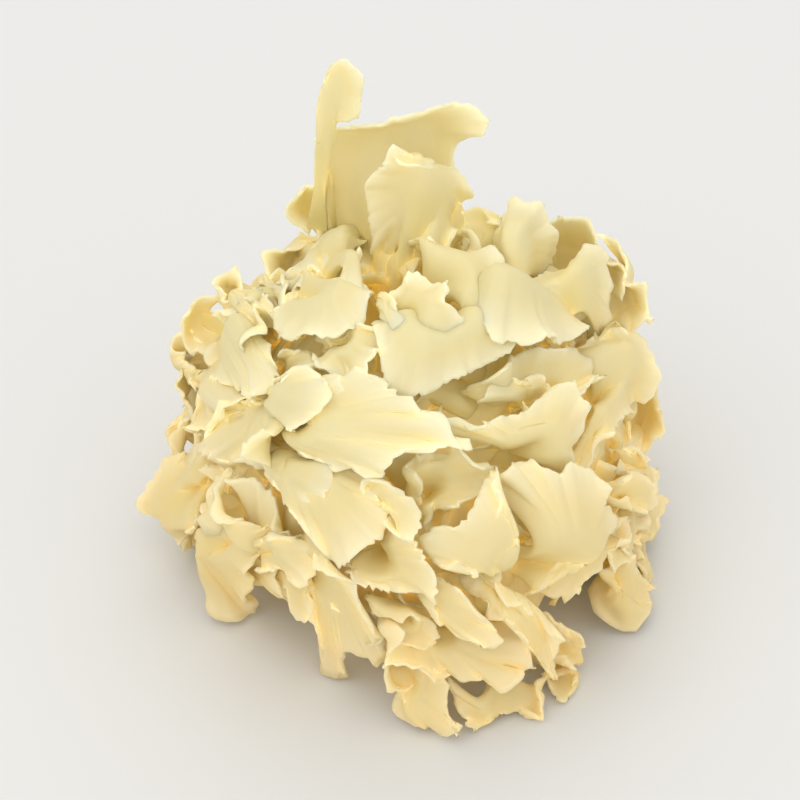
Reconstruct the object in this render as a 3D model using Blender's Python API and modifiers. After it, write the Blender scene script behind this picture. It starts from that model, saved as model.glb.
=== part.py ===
"""A cauliflower mushroom (Sparassis), cut off flat at its foot and standing on the cut.

The foot is a short thick stem. Main branches fork from its round top and part again into thin
wavy fronds. The fronds are noted as a viewer in front of and above the mushroom sees them:
millimetres to the right, millimetres up, and millimetres that they stand out from a smooth mound
of the mushroom's size. stand() turns such a note into a place in the part's frame, where the
foot's cut face is at z = 0, +X is to the viewer's right and -Y is towards the viewer.
"""
import math

import bmesh
import bpy
from mathutils import Matrix, Vector

MM = 0.001
SAME_POINT = 0.01 * MM
GOLDEN_ANGLE = math.pi * (3 - math.sqrt(5))

MOUND_WIDTH = 140 * MM
MOUND_DEPTH = 150 * MM
MOUND_HEIGHT = 105 * MM

SIGHT_ABOVE_LEVEL = math.radians(40)
SIGHT_DISTANCE = 700 * MM
SIGHTED_HEIGHT = 60 * MM

FOOT_SIDES = 16
FOOT_SWELLS = [(2, 0.06, 0.6), (5, 0.03, 0)]

HUB = Vector((4, 2, 24)) * MM
LIMB_RADIUS_AT_FOOT = 9 * MM
LIMB_RADIUS_AT_FORK = 22 * MM
LIMB_KNOB_RADIUS = 28 * MM
LIMB_START = 12 * MM
LIMB_PAST_FORK = 20 * MM
LIMB_SIDES = 8
LIMB_SHARE_OF_MOUND = 0.86
KNOB_PROFILE = [(0, 1), (0.7, 0.85), (1, 0.5)]

FROND_THICKNESS = 2.6 * MM
FROND_FORK_WIDTH = 6 * MM
FRONDS_APART_AT_FORK = 1.6 * MM
FRONDS_STEPPED_AT_FORK = 0.7 * MM
FROND_ROOT_SHARE = 0.4
FROND_LEAN = 0.4
FROND_BELLY = 0.42
HALF_WAY_SHARES = (0.25, 0.5, 0.25)
ROOT_DEPTH = 9 * MM
WAVE_LENGTH = 33 * MM
WAVE_HEIGHT = 3.5 * MM
SHORT_FROND = 60 * MM
SMALLEST_FROND = 27 * MM
SMALLEST_TURNED_FROND = 30 * MM
MARGIN_STEP = 18 * MM
FEWEST_STEPS = 3

FILLING_FRONDS = 24
FILLING_HEIGHTS = (0.12, 0.95)
FILLING_SHARE = 0.97
FILLING_DEEPER_IN_FRONT = 0.14
FRONT_STARTS = -0.2
FRONT_SOFTNESS = 0.5
FRONT_IS_NOTED = 0.25
FILLING_DEEPER_LOW_DOWN = 0.14
FILLING_LOW_DOWN = 0.35
FILLING_WIDTH = 48 * MM
FILLING_LENGTH = 22 * MM
FILLING_DROOP = 1.5
FILLING_DEPTH = 16 * MM
FILLING_SWING = 5 * MM
FILLING_WAVES = 1.3
FILLING_LEAN = 3 * MM
FILLING_TILT = 0.7
FILLING_TILT_STEP = 2.3
FILLING_POINTS = 4

GAP = 0.3 * MM
FOOT_CLEARANCE = 0.345 * MM
ABOVE_SURFACE = 0.4 * MM
WEDGE_SOFTNESS = 7.2 * MM
EASING_ROUNDS = 20

FROND_COLOUR = (0.91, 0.82, 0.55)
FROND_ROUGHNESS = 0.5
FOOT_COLOUR = (0.82, 0.7, 0.45)
FOOT_ROUGHNESS = 0.65
SHARP_EDGE = math.radians(50)

ON_SURFACE = -99

# Each branch: the place of its fork, and its fronds. Each frond: the root of its sheet, then its
# margin from end to end. A place is (right, up, out from the mound) in millimetres, or
# ON_SURFACE for a tip that reaches down to what the mushroom stands on.
BRANCHES = {
    "crown_branch": ((-6, 26, -34), {
        "tall_blade": ((-6, 44, -10), [(-29, 44, -2), (-29.5, 62, 2), (-29, 77, 5), (-25, 79, 6),
            (-19, 78, 7), (-10, 80, 9), (0, 83.5, 9), (8, 87, 7), (14, 85, 5), (22, 82, 3),
            (21, 77, 0), (13, 72, -4), (13, 60, -8), (14, 48, -8)]),
        "hook_tip": ((-27, 72, 4), [(-29, 78, 4), (-28.5, 88, 6), (-25, 95, 8), (-21, 100, 10),
            (-15, 95, 13), (-14, 91, 13), (-15.5, 83, 8), (-19, 81.5, 6), (-24, 80, 5)]),
        "spur": ((0, 44, 2), [(-12, 46, 8), (-13.5, 56, 9), (-15, 64.5, 10), (-9.5, 69, 13),
            (-8, 74, 14), (-5, 76.5, 14), (-2, 72, 15), (4, 70, 12), (9, 68, 5), (12, 62, 0),
            (13, 54, -4), (9, 45, 0)]),
        "left_flap": ((-24, 46, -10), [(-31, 50, -6), (-34, 53, -6), (-37, 55, -5), (-35, 59, -5),
            (-32, 62, -5), (-28, 63, -6)]),
        "mid_lobe": ((18, 40, -8), [(13, 44, -4), (13, 51, -2), (14.5, 55, 0), (20, 57.5, 1),
            (24, 54, 1), (26, 50, 0), (26, 42, 2)]),
        "hollow_lobe": ((8, 42, -8), [(4, 58, -4), (8, 60, -3), (12, 57, -2), (14, 52, 0),
            (15, 46, 3)]),
        "hollow_back": ((-8, 34, -20), [(-18, 44, -8), (-15, 49.5, -8), (-8, 48, -8), (-3, 44, -6),
            (0, 38, -4), (-4, 32, -2)]),
    }),
    "top_branch": ((2, 14, -34), {
        "shell_lobe": ((6, 30, 0), [(-3, 46, -2), (1, 44, 1), (5, 43.5, 3), (12, 44, 5),
            (16, 43, 6), (21, 40, 7), (25, 36, 7), (26, 30, 7), (26, 24, 7), (20, 21, 7)]),
        "bright_lobe": ((-2, 22, 4), [(-9, 29, 3), (-4, 35, 7), (0, 37.5, 9), (5, 35, 10),
            (10, 33, 11), (11, 29, 11), (8, 26.5, 10), (12, 25.5, 12), (15, 23, 12), (15.5, 19, 11),
            (10, 17, 9)]),
        "hanging_tab": ((-8, 27, 4), [(-10, 29, 6), (-5, 29.5, 9), (-4, 24, 10), (-2, 22.5, 11),
            (-4, 20, 11), (-8, 19, 10), (-9, 23, 8)]),
    }),
    "upper_right_branch": ((40, 10, -34), {
        "right_blade": ((32, 22, -4), [(26, 22, 3), (27, 40, 2), (27.5, 58, 0), (31, 58.5, 1),
            (35, 57.5, 2), (38.5, 57.5, 2), (39.5, 54, 1), (39, 51, -1), (42, 44, -6)]),
        "back_rim": ((48, 28, -14), [(38, 50, -8), (44, 48.5, -7), (50, 49, -6), (54, 46, -5),
            (57, 44.5, -4), (58.5, 40, -3), (62, 39.5, -3), (61, 34, -2)]),
        "front_fold": ((42, 22, 4), [(27, 26, 7), (33, 33, 8), (40, 34, 9), (45, 37, 9),
            (48, 42, 8), (51, 46, 4), (56, 42, 1), (58, 34, 0), (58, 26, 0)]),
        "right_shoulder": ((56, 24, -6), [(58, 44, -5), (62, 39, -5), (61, 33, -4), (66, 28, -4),
            (70, 24, -3), (73, 21, -3), (66, 20, 0), (60, 16, 3)]),
        "skirt": ((36, 30, 2), [(20, 20, 7), (24, 13.5, 11), (28, 17, 12), (33, 14, 13),
            (42, 16, 13), (49, 17, 12), (48.5, 21, 11), (52, 28, 6)]),
        "hollow_frond": ((38, 2, -10), [(20, 7, -2), (28, 12, 0), (36, 15, 1), (44, 15.5, 2),
            (50, 13.5, 4), (53, 9, 6), (55.5, 5, 7), (52, 1, 6), (46, -2, 4)]),
    }),
    "upper_left_branch": ((-36, 12, -32), {
        "cup_wall": ((-22, 34, -2), [(-26, 44, 0), (-22, 43, 2), (-18, 49, 2), (-16, 47, 3),
            (-19, 41, 5), (-16, 38.5, 6), (-18, 33, 6), (-13, 30, 6)]),
        "left_bowl": ((-35, 18, -6), [(-39, 31, 3), (-33, 35.5, 2), (-28, 35.5, 0), (-20, 33.5, 0),
            (-12, 29.5, 2), (-11, 26, 4), (-14, 22.5, 6), (-17, 19.5, 7), (-21, 17, 7),
            (-26, 15.5, 7), (-34, 13, 6)]),
        "left_lobe": ((-52, 20, -6), [(-59, 26, -2), (-59.5, 33.5, -3), (-57, 35, -3),
            (-50, 35, -3), (-46, 32, -1), (-41, 27, 2), (-40, 20, 4), (-41, 14, 6), (-44, 13, 7),
            (-50, 15.5, 6), (-53, 18, 5)]),
        "ridge_lobe": ((-36, 34, -8), [(-48, 35, -6), (-44, 40, -6), (-41, 43, -6), (-37, 43.5, -6),
            (-34, 47, -7), (-32, 52, -8), (-29, 47, -4), (-26, 42, 0), (-25, 37, 2), (-30, 35, 3)]),
        "far_upper_lobe": ((-58, 20, -6), [(-60, 27, -5), (-63, 26.5, -6), (-64, 28.5, -7),
            (-66, 23, -6), (-68, 18, -5), (-66, 14, -1), (-60, 13, 2), (-53, 14, 4)]),
        "far_lower_lobe": ((-60, 10, -8), [(-66, 18, -6), (-72, 17, -7), (-75, 14.5, -7),
            (-73, 9.5, -6), (-70, 6, -4), (-66, 2, -1), (-60, 3, 3)]),
        "inner_ruffle": ((-44, 28, -4), [(-50, 30, -2), (-46, 36, -2), (-42, 34, 0), (-38, 33, 2),
            (-37, 28, 3), (-39, 24, 4)]),
    }),
    "left_branch": ((-44, -10, -32), {
        "scoop_tongue": ((-54, 13, 0), [(-58, 12, 3), (-53, 5, 7), (-48, 0, 10), (-43, -2, 12),
            (-40.5, 1, 12), (-40, 6, 11), (-42, 11, 8), (-46, 13, 6), (-51, 15, 4)]),
        "crinkle": ((-36, 6, 0), [(-41, 12, 2), (-36, 14, 3), (-31, 14, 4), (-28, 11, 6),
            (-29, 6, 8), (-33, 3, 9), (-37, 3, 9), (-39, 0, 9)]),
        "left_drop": ((-60, 2, -4), [(-68, 8, -4), (-72, 3, -4), (-71, 0.5, -3), (-67, -4, -2),
            (-63, -9, 0), (-61, -13, 2), (-56, -12, 4), (-53, -6, 5), (-52, 0, 4)]),
        "left_pad": ((-40, -8, 4), [(-40, -3, 10), (-46, -1, 9), (-52, -2, 7), (-57, -7, 5),
            (-61, -13, 3), (-59, -18, 4), (-52, -20, 7), (-45, -22, 9), (-38, -21, 11),
            (-37, -17, 12), (-35, -14, 12), (-36, -8, 11)]),
        "left_hand": ((-62, -26, -2), [(-60, -13, 0), (-64, -15.5, -2), (-67, -18, -3),
            (-69, -15.5, -4), (-73, -17, -5), (-76, -20, -5), (-78, -25, -5), (-79, -29, -5),
            (-76, -32, -4), (-71, -31, -2), (-69, -34, -1), (-67, -39, 0), (-63, -38.5, 2),
            (-60, -36, 3)]),
        "pocket_ruffle": ((-52, -30, -2), [(-62, -34, 3), (-60, -36.5, 4), (-57, -33, 5),
            (-58, -28, 5), (-54, -21, 6), (-52.5, -28, 7), (-51, -34, 7), (-47, -37, 7),
            (-44, -40, 6)]),
        "pocket_wall": ((-44, -38, -10), [(-60, -19, -2), (-52, -21, -2), (-44, -22, -1),
            (-39, -29, 0), (-34, -36, 1), (-29, -44, 2)]),
    }),
    "middle_branch": ((2, -8, -34), {
        "centre_drape": ((-33, -7, 5), [(-36, 3, 9), (-31, 5.5, 9), (-26, 4.5, 10), (-22, 6.5, 10),
            (-18, 4, 11), (-15, 3, 11), (-12, 6.5, 10), (-9, 6, 11), (-5, 2, 12), (2, -2, 13),
            (8, -5, 14), (13, -10, 16), (19, -14.5, 18), (10, -15, 18), (2, -17, 18),
            (-3, -19.5, 17), (-8, -24, 17), (-14, -22.5, 16), (-20, -20.5, 15), (-28, -19.5, 14),
            (-34, -15, 12)]),
        "curl": ((-35, -2, 8), [(-37, 2, 13), (-31, 5, 14), (-26, 4, 15), (-23, 0, 16),
            (-24, -5, 16), (-28, -7, 16), (-33, -5, 14)]),
        "upper_sheet": ((6, 20, 2), [(-12, 20, 5), (-10, 10, 7), (-8, 2, 9), (0, -1, 9), (6, 0, 7),
            (9, 3, 5), (14, 5, 5), (19, 8, 6), (26, 11, 7), (31, 13.5, 8), (30, 18, 7)]),
        "side_lobes": ((-16, 12, 0), [(-28, 14, 2), (-25, 17, 3), (-20, 15, 4), (-17, 20, 5),
            (-12, 22, 6), (-8, 20, 7), (-8, 12, 8), (-13, 5, 9), (-19, 4, 9), (-25, 6, 8),
            (-28, 9, 6)]),
        "inner_curls": ((28, -4, -8), [(20, 0, 0), (23, 6, 1), (28, 6.5, 2), (30, 3, 3), (33, 7, 3),
            (38, 7, 3), (39, 2, 3)]),
        "lower_sheet": ((28, -16, 2), [(8, -6, 3), (15, -8, 5), (20, -7.5, 6), (26, -5, 7),
            (33, -3, 8), (37, 0, 8), (41, 3, 9), (43.5, 4, 9), (46, 0, 9), (48, -8, 7),
            (46, -18, 4)]),
    }),
    "right_branch": ((46, -16, -32), {
        "right_wing": ((54, -2, -2), [(50, 15, 0), (53, 15, 3), (57, 17.5, 3), (61, 19.5, 1),
            (65, 19.5, 0), (68, 16, 0), (69, 8, 1), (70, 0, 2), (66, -2.5, 4), (62, -3, 5),
            (59, -7, 5), (55, -14, 4), (51, -20, 2)]),
        "wing_flap": ((60, 16, 2), [(52, 12.5, 6), (56, 16.5, 6), (61, 19.5, 4), (62, 15, 7),
            (59, 11, 9), (55.5, 12, 9)]),
        "right_side_upper": ((62, -8, -14), [(66, 12, -14), (72, 6, -16), (76, -2, -16),
            (74, -10, -12), (68, -16, -8), (62, -16, -6)]),
        "right_side_lower": ((58, -30, -12), [(64, -18, -14), (70, -26, -14), (70, -36, -12),
            (64, -44, -8), (58, -46, -5), (54, -38, -3)]),
    }),
    "front_branch": ((6, -38, -32), {
        "centre_fan": ((32, -52, 3), [(27, -20, 8), (31, -18.5, 9), (34, -18, 10), (38, -20, 11),
            (42, -21.5, 12), (44, -19, 12), (48, -20, 12), (51, -22.5, 11), (53, -26, 10),
            (56, -32, 8), (58, -37, 6), (54, -40.5, 7), (50, -41.5, 8), (44, -48, 9),
            (38, -57, 9)]),
        "centre_ear": ((24, -49, 4), [(19, -51.5, 11), (14, -52, 12), (9, -51.5, 12), (5, -48, 12),
            (1, -43, 11), (3, -39.5, 10), (9, -37, 9), (15, -33, 9), (19, -28, 9), (25, -20, 9),
            (28, -26, 13), (29.5, -36, 16), (28, -42, 16), (24, -45, 14)]),
        "centre_cup": ((2, -32, -4), [(-3, -27, 3), (-3, -20, 5), (2, -17, 6), (10, -15.5, 5),
            (18, -15.5, 4), (23, -20, 3), (22, -27, 3), (16, -32, 5), (8, -34, 7), (4, -38, 8)]),
        "left_panel": ((-24, -21, 4), [(-42, -22, 6), (-40, -27, 8), (-36, -33, 9), (-31, -41, 11),
            (-28, -45, 12), (-22, -50, 13), (-15, -46, 13), (-8, -41, 13), (-7, -37.5, 13),
            (-10, -32, 12), (-11, -27, 11), (-10, -23, 9)]),
        "eyelet": ((-34, -22, 8), [(-40, -21, 8), (-38, -28, 10), (-33, -31, 12), (-27, -31, 13),
            (-23, -27, 14), (-22, -22, 12), (-26, -20, 10)]),
        "hook_ribbon": ((-8, -32, 5), [(-12, -28, 10), (-8, -25, 12), (-4, -26, 13), (-3, -30, 14),
            (1, -34, 14), (5, -38.5, 13), (1, -40, 14), (-4, -35.5, 14), (-9, -31.5, 13)]),
        "lower_sheet_front": ((-8, -44, 2), [(-20, -49, 9), (-18, -56, 10), (-8, -58, 11),
            (0, -58, 11), (6, -58, 11), (9, -53, 11), (5, -48, 11), (1, -42, 10), (-2, -38, 9)]),
    }),
    "front_left_branch": ((-34, -52, -26), {
        "strap": ((-34, -45, 1), [(-34, -52, 5), (-29.5, -57, 4), (-30, -66, 0), (-27.5, -74, -8),
            (-27, -80, ON_SURFACE), (-22, -84, ON_SURFACE), (-20, -82, ON_SURFACE),
            (-20, -75, -8), (-14, -77, -5), (-8, -79, -2), (-9, -73, 5), (-12, -67, 9),
            (-17, -59, 11), (-21, -52, 12), (-27, -46, 11)]),
        "arch": ((-42, -46, 1), [(-53, -43, 6), (-47, -44.5, 7), (-42, -41, 8), (-37, -40, 9),
            (-31, -44, 10), (-28, -50, 9), (-30, -57, 7), (-35, -54, 6), (-41, -51, 5),
            (-46, -53, 4)]),
        "left_leg": ((-51, -43, -1), [(-57, -39, 2), (-64, -40.5, 1), (-60.5, -46, -2),
            (-59, -53, -8), (-57, -58, -15), (-57.5, -64, ON_SURFACE), (-52, -65.5, ON_SURFACE),
            (-46, -63, ON_SURFACE), (-48, -58, -10), (-46, -50, 0)]),
        "under_arch": ((-34, -50, -4), [(-42, -53, -2), (-38, -56, -2), (-36, -59, -2),
            (-36.5, -62, -2), (-33, -66, -2), (-30, -66, -1), (-28, -57, -1)]),
    }),
    "front_right_branch": ((20, -64, -24), {
        "dark_leaf": ((42, -44, -6), [(46, -40, 0), (50, -41, 1), (54, -45, 1), (56, -48, 0),
            (51, -54, -1), (46, -58, -1), (40, -60, 0)]),
        "mid_petal": ((5, -58, 3), [(8, -54.5, 9), (14, -55, 11), (18, -60, 12), (23, -65.5, 12),
            (25.5, -70, 11), (25, -74, 10), (20, -73.5, 10), (13, -71, 10), (7, -67, 9),
            (2, -61, 8)]),
        "right_petal": ((21, -56, 3), [(26, -54.5, 9), (32, -57, 9), (37, -62, 8), (39.5, -69, 7),
            (41, -76, 5), (42.5, -84, 3), (38, -80, 5), (33, -74, 8), (27, -69, 9), (21, -62, 9)]),
        "right_leaf": ((38, -72, -4), [(39.5, -66, 3), (44, -67, 2), (48, -71, 1), (51, -76, 0),
            (52, -81, 0), (47, -80.5, 1), (41, -79, 3)]),
        "long_leaf": ((26, -81, 0), [(10, -86, 3), (12, -90, 3), (13, -94, 2), (15, -99, 2),
            (18, -95, 3), (24, -93, 4), (30, -92, 4), (36, -90, 3), (37, -87, 3), (40, -83.5, 3)]),
        "bottom_left_leaf": ((2, -78, 0), [(-6, -80.5, 2), (-3, -84, 2), (-1, -88, 2), (1, -94, 2),
            (3.5, -100, 2), (7, -97, 3), (10.5, -98, 3), (10, -94, 4), (13, -91, 4), (9, -86, 6),
            (5, -82, 6)]),
        "small_leaf": ((41, -78, -6), [(40, -81, -1), (45, -81, -1), (46.5, -86, -1), (45, -91, -1),
            (41, -89, -1), (38, -86, -1)]),
        "ledge": ((8, -66, -2), [(-10, -66, 4), (-9, -72, 5), (-9, -78, 5), (-4, -80, 5),
            (5, -81, 6), (12, -83.5, 6), (22, -82, 6), (31, -83, 5), (34, -79, 5), (33, -73, 5)]),
        "ledge_top": ((2, -62, 0), [(-13, -62, 7), (-8, -66, 8), (-2, -66.5, 9), (3, -65, 9),
            (6, -69, 9), (6, -76, 7), (-2, -74, 7), (-10, -70, 7)]),
    }),
}

# The sides and the back carry the same kinds of branch: which one each is like, the degrees that
# it is turned about the middle of the mushroom, and its size beside that one.
TURNED_BRANCHES = {
    "back_branch": ("front_branch", 178, 0.97),
    "back_upper_left_branch": ("left_branch", -68, 0.94),
    "back_upper_right_branch": ("left_branch", -152, 0.95),
    "back_low_branch": ("front_right_branch", 186, 0.93),
    "back_left_branch": ("front_right_branch", -128, 0.95),
    "back_right_branch": ("front_left_branch", 172, 1.0),
    "right_low_branch": ("front_right_branch", 60, 0.92),
    "left_low_branch": ("front_left_branch", -82, 0.86),
}
# The angle about its fork, in radians, at which a branch's first frond starts. It is 0 elsewhere.
FORK_TWISTS = {
    "upper_right_branch": 1.2, "right_branch": 1.2, "back_upper_left_branch": 0.55,
    "back_right_branch": 3.8,
}

# The outline that is turned to make the foot: radius and height in millimetres. It is uneven by
# FOOT_SWELLS: how many swells there are around it, the share of the radius that they add, and the
# angle at which they start.
FOOT_PROFILE = [(0, 44), (12, 43), (19, 38), (22.5, 30), (23, 20), (25, 9), (27, 3), (26.5, 0), (0, 0)]

TOWARDS_VIEWER = Vector((0, -math.cos(SIGHT_ABOVE_LEVEL), math.sin(SIGHT_ABOVE_LEVEL)))
PICTURE_UP = Vector((0, math.sin(SIGHT_ABOVE_LEVEL), math.cos(SIGHT_ABOVE_LEVEL)))
SIGHTED_POINT = Vector((0, 0, SIGHTED_HEIGHT))
VIEWER = SIGHTED_POINT + SIGHT_DISTANCE * TOWARDS_VIEWER
MOUND = Vector((MOUND_WIDTH / 2, MOUND_DEPTH / 2, MOUND_HEIGHT))
LOWEST_FROND = ABOVE_SURFACE + FROND_THICKNESS / 2


def stand(noted, further_out=0):
    """The place of a note: along the viewer's line of sight, that far out from the mound."""
    right, up, out = (value * MM for value in noted)
    seen = SIGHTED_POINT + Vector((right, 0, 0)) + up * PICTURE_UP
    sight = (VIEWER - seen) / SIGHT_DISTANCE
    scaled_sight = Vector([s / m for s, m in zip(sight, MOUND)])
    scaled_seen = Vector([s / m for s, m in zip(seen, MOUND)])
    a = scaled_sight.length_squared
    b = scaled_sight.dot(scaled_seen)
    c = scaled_seen.length_squared - 1
    along = (math.sqrt(max(b * b - a * c, 0)) - b) / a + out + further_out
    along = max(along, (LOWEST_FROND - seen.z) / sight.z)
    return seen + sight * along


def waved(margin):
    """The places of a margin, which swings out and in along its length."""
    places, length = [], 0
    for note, before in zip(margin, [margin[0], *margin]):
        length += (Vector(note[:2]) - Vector(before[:2])).length * MM
        swing = math.sin(math.tau * length / WAVE_LENGTH + note[0] + note[1])
        places.append(stand(note, WAVE_HEIGHT * swing))
    return places


def filling_frond(number):
    """One of the fronds that are spread evenly over the mound, by the golden angle, to fill it
    between the noted ones: the direction in which it grows from the hub, its root, its margin."""
    lowest, highest = FILLING_HEIGHTS
    height = lowest + (highest - lowest) * (number + 0.5) / FILLING_FRONDS
    around = number * GOLDEN_ANGLE
    level_share = math.sqrt(1 - height ** 2)
    direction = Vector((math.cos(around) * level_share, math.sin(around) * level_share, height))
    in_front = min(max((direction.dot(TOWARDS_VIEWER) - FRONT_STARTS) / FRONT_SOFTNESS, 0), 1)
    low_down = max(1 - height / FILLING_LOW_DOWN, 0)
    share = FILLING_SHARE - FILLING_DEEPER_IN_FRONT * in_front - FILLING_DEEPER_LOW_DOWN * low_down
    centre = MOUND * direction * share
    out = Vector([d / m for d, m in zip(direction, MOUND)]).normalized()
    level = Vector((0, 0, 1)).cross(out).normalized()
    tilt = FILLING_TILT * math.sin(FILLING_TILT_STEP * number)
    across = level * math.cos(tilt) + out.cross(level) * math.sin(tilt)
    up = out.cross(across)
    margin = []
    for point in range(FILLING_POINTS):
        place = point / (FILLING_POINTS - 1) - 0.5
        rise = FILLING_LENGTH * (0.5 - FILLING_DROOP * place ** 2)
        swing = FILLING_LEAN + FILLING_SWING * math.sin(math.tau * FILLING_WAVES * place + number)
        margin.append(centre + across * FILLING_WIDTH * place + up * rise + out * swing)
    root = centre - out * FILLING_DEPTH - up * FILLING_LENGTH
    return direction, root, margin


def turned_about_middle(point, degrees, size):
    around_middle = Matrix.Rotation(math.radians(degrees), 3, "Z") @ point
    resized = HUB + (around_middle - HUB) * size
    resized.z = max(resized.z, LOWEST_FROND)
    return resized


def evenly_spaced(margin):
    """Points at even distances along the margin, as many as its length asks for."""
    lengths = [(after - before).length for before, after in zip(margin, margin[1:])]
    count = max(round(sum(lengths) / MARGIN_STEP), FEWEST_STEPS)
    places = []
    for number in range(count):
        left = sum(lengths) * number / count
        stretch = 0
        while left > lengths[stretch]:
            left -= lengths[stretch]
            stretch += 1
        places.append(margin[stretch].lerp(margin[stretch + 1], left / lengths[stretch]))
    return places + [margin[-1]]


def frond_rows(fork, root, margin):
    """The rows of a frond's sheet: at the fork, at its root, half way out, and its margin."""
    outward = (root - fork).normalized()
    middle = len(margin) // 2
    across = margin[min(middle + 1, len(margin) - 1)] - margin[middle - 1]
    across = (across - outward * across.dot(outward)).normalized()
    at_fork, at_root, half_way = [], [], []
    for number, edge in enumerate(margin):
        share = number / (len(margin) - 1) - 0.5
        reach = edge - root
        lean = root + outward * reach.length * FROND_BELLY + reach * FROND_LEAN
        at_fork.append(fork + across * share * FROND_FORK_WIDTH)
        at_root.append(root + reach * FROND_ROOT_SHARE)
        from_root, from_lean, from_edge = HALF_WAY_SHARES
        half_way.append(from_root * at_root[-1] + from_lean * lean + from_edge * edge)
    if max((edge - root).length for edge in margin) < SHORT_FROND:
        return [at_fork, at_root, margin]
    return [at_fork, at_root, half_way, margin]


def start_of_frond(name, fork, number):
    """The place of a frond's own start, a little aside of those of the other fronds of its branch."""
    around = FORK_TWISTS.get(name, 0) + number * GOLDEN_ANGLE
    aside = Vector((math.cos(around), math.sin(around), 0)) * FRONDS_APART_AT_FORK
    return fork + aside + (HUB - fork).normalized() * number * FRONDS_STEPPED_AT_FORK


def noted_fronds(name):
    """The fork of a branch and the rows of each of its noted fronds, before they are kept apart."""
    like, degrees, size = TURNED_BRANCHES.get(name, (name, 0, 1))
    smallest = SMALLEST_TURNED_FROND if degrees else SMALLEST_FROND
    noted_fork, fronds = BRANCHES[like]
    fork = stand(noted_fork)
    sheets = []
    for number, (noted_root, margin) in enumerate(fronds.values()):
        root = stand(noted_root, -ROOT_DEPTH)
        edge = evenly_spaced(waved(margin))
        if max((point - root).length for point in edge) < smallest:
            continue
        rows = frond_rows(start_of_frond(name, fork, number), root, edge)
        sheets.append([[turned_about_middle(point, degrees, size) for point in row] for row in rows])
    return turned_about_middle(fork, degrees, size), sheets


def heading(sheets):
    """The direction from the hub to the middle of a branch's margins."""
    margins = [point for rows in sheets for point in rows[-1]]
    return (sum(margins, Vector()) / len(margins) - HUB).normalized()


def kept_in_wedge(point, sides):
    """A point eased into its branch's own wedge of space, so that no two branches cross."""
    room = (GAP + FROND_THICKNESS) / 2
    for side in sides:
        inside = (point - HUB).dot(side) - room
        if inside < WEDGE_SOFTNESS:
            eased = WEDGE_SOFTNESS * math.exp(inside / WEDGE_SOFTNESS - 1)
            point = point + side * (eased - inside)
    for _ in range(EASING_ROUNDS):
        point.z = max(point.z, LOWEST_FROND)
        for side in sides:
            inside = (point - HUB).dot(side) - room
            if inside < 0:
                point = point - side * inside
    return point


def kept_in_mound(point):
    """A point of a limb drawn in to the limbs' share of the mound, so that fronds cover it."""
    share = Vector([p / m for p, m in zip(point, MOUND)]).length
    return point * min(LIMB_SHARE_OF_MOUND / share, 1)


def new_object(name, mesh, collection):
    piece = bpy.data.objects.new(name, mesh)
    collection.objects.link(piece)
    return piece


def mesh_of(name, shape):
    bmesh.ops.recalc_face_normals(shape, faces=shape.faces)
    if volume_within(shape.faces) < 0:
        bmesh.ops.reverse_faces(shape, faces=shape.faces)
    mesh = bpy.data.meshes.new(name)
    shape.to_mesh(mesh)
    shape.free()
    return mesh


def helper(name, mesh):
    """An object that only cuts or joins another, and isn't a piece of the mushroom."""
    piece = new_object(name, mesh, helpers)
    piece.hide_render = True
    piece.display_type = "WIRE"
    return piece


def applied(piece, modifier_type, **settings):
    """The mesh that the piece would have with one more modifier."""
    modifier = piece.modifiers.new(modifier_type, modifier_type)
    for setting, value in settings.items():
        setattr(modifier, setting, value)
    evaluated = piece.evaluated_get(bpy.context.evaluated_depsgraph_get())
    shape = bmesh.new()
    shape.from_mesh(evaluated.to_mesh())
    evaluated.to_mesh_clear()
    piece.modifiers.remove(modifier)
    return shape


def flesh(name, colour, roughness):
    material = bpy.data.materials.new(name)
    material.use_nodes = True
    shader = material.node_tree.nodes["Principled BSDF"]
    shader.inputs["Base Color"].default_value = (*colour, 1)
    shader.inputs["Roughness"].default_value = roughness
    return material


def turned_shape(name, profile, sides):
    """The closed shape made by turning a line of (radius, height) about the Z axis."""
    line = bpy.data.meshes.new(name + "_profile")
    corners = [(radius, 0, height) for radius, height in profile]
    line.from_pydata(corners, [(place, place + 1) for place in range(len(corners) - 1)], [])
    guide = helper(name + "_profile", line)
    shape = applied(
        guide, "SCREW", axis="Z", steps=sides, render_steps=sides, use_merge_vertices=True,
        merge_threshold=SAME_POINT,
    )
    bmesh.ops.recalc_face_normals(shape, faces=shape.faces)
    return shape


def foot_mesh(name, clearance):
    """The turned foot, a little out of round, its surface moved out by a clearance."""
    shape = turned_shape(name, [(radius * MM, height * MM) for radius, height in FOOT_PROFILE], FOOT_SIDES)
    for corner in shape.verts:
        around = math.atan2(corner.co.y, corner.co.x)
        uneven = 1 + sum(share * math.sin(count * around + start) for count, share, start in FOOT_SWELLS)
        corner.co.x *= uneven
        corner.co.y *= uneven
    shape.normal_update()
    for corner in shape.verts:
        corner.co += corner.normal * clearance + Vector((HUB.x, HUB.y, 0))
    return mesh_of(name, shape)


def limb_mesh(name, fork, sides):
    """The thick part of a branch, from inside the foot to the knob that its fronds grow from."""
    outward = (fork - HUB).normalized()
    to_fork = (fork - HUB).length
    knob = [(LIMB_KNOB_RADIUS * wide, to_fork + LIMB_PAST_FORK * far) for wide, far in KNOB_PROFILE]
    stem = [(LIMB_RADIUS_AT_FORK, to_fork), (LIMB_RADIUS_AT_FOOT, LIMB_START), (0, LIMB_START)]
    shape = turned_shape(name, knob + stem, LIMB_SIDES)
    along_limb = Vector((0, 0, 1)).rotation_difference(outward).to_matrix()
    for corner in shape.verts:
        corner.co = kept_in_wedge(kept_in_mound(HUB + along_limb @ corner.co), sides)
    return mesh_of(name, shape)


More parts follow.
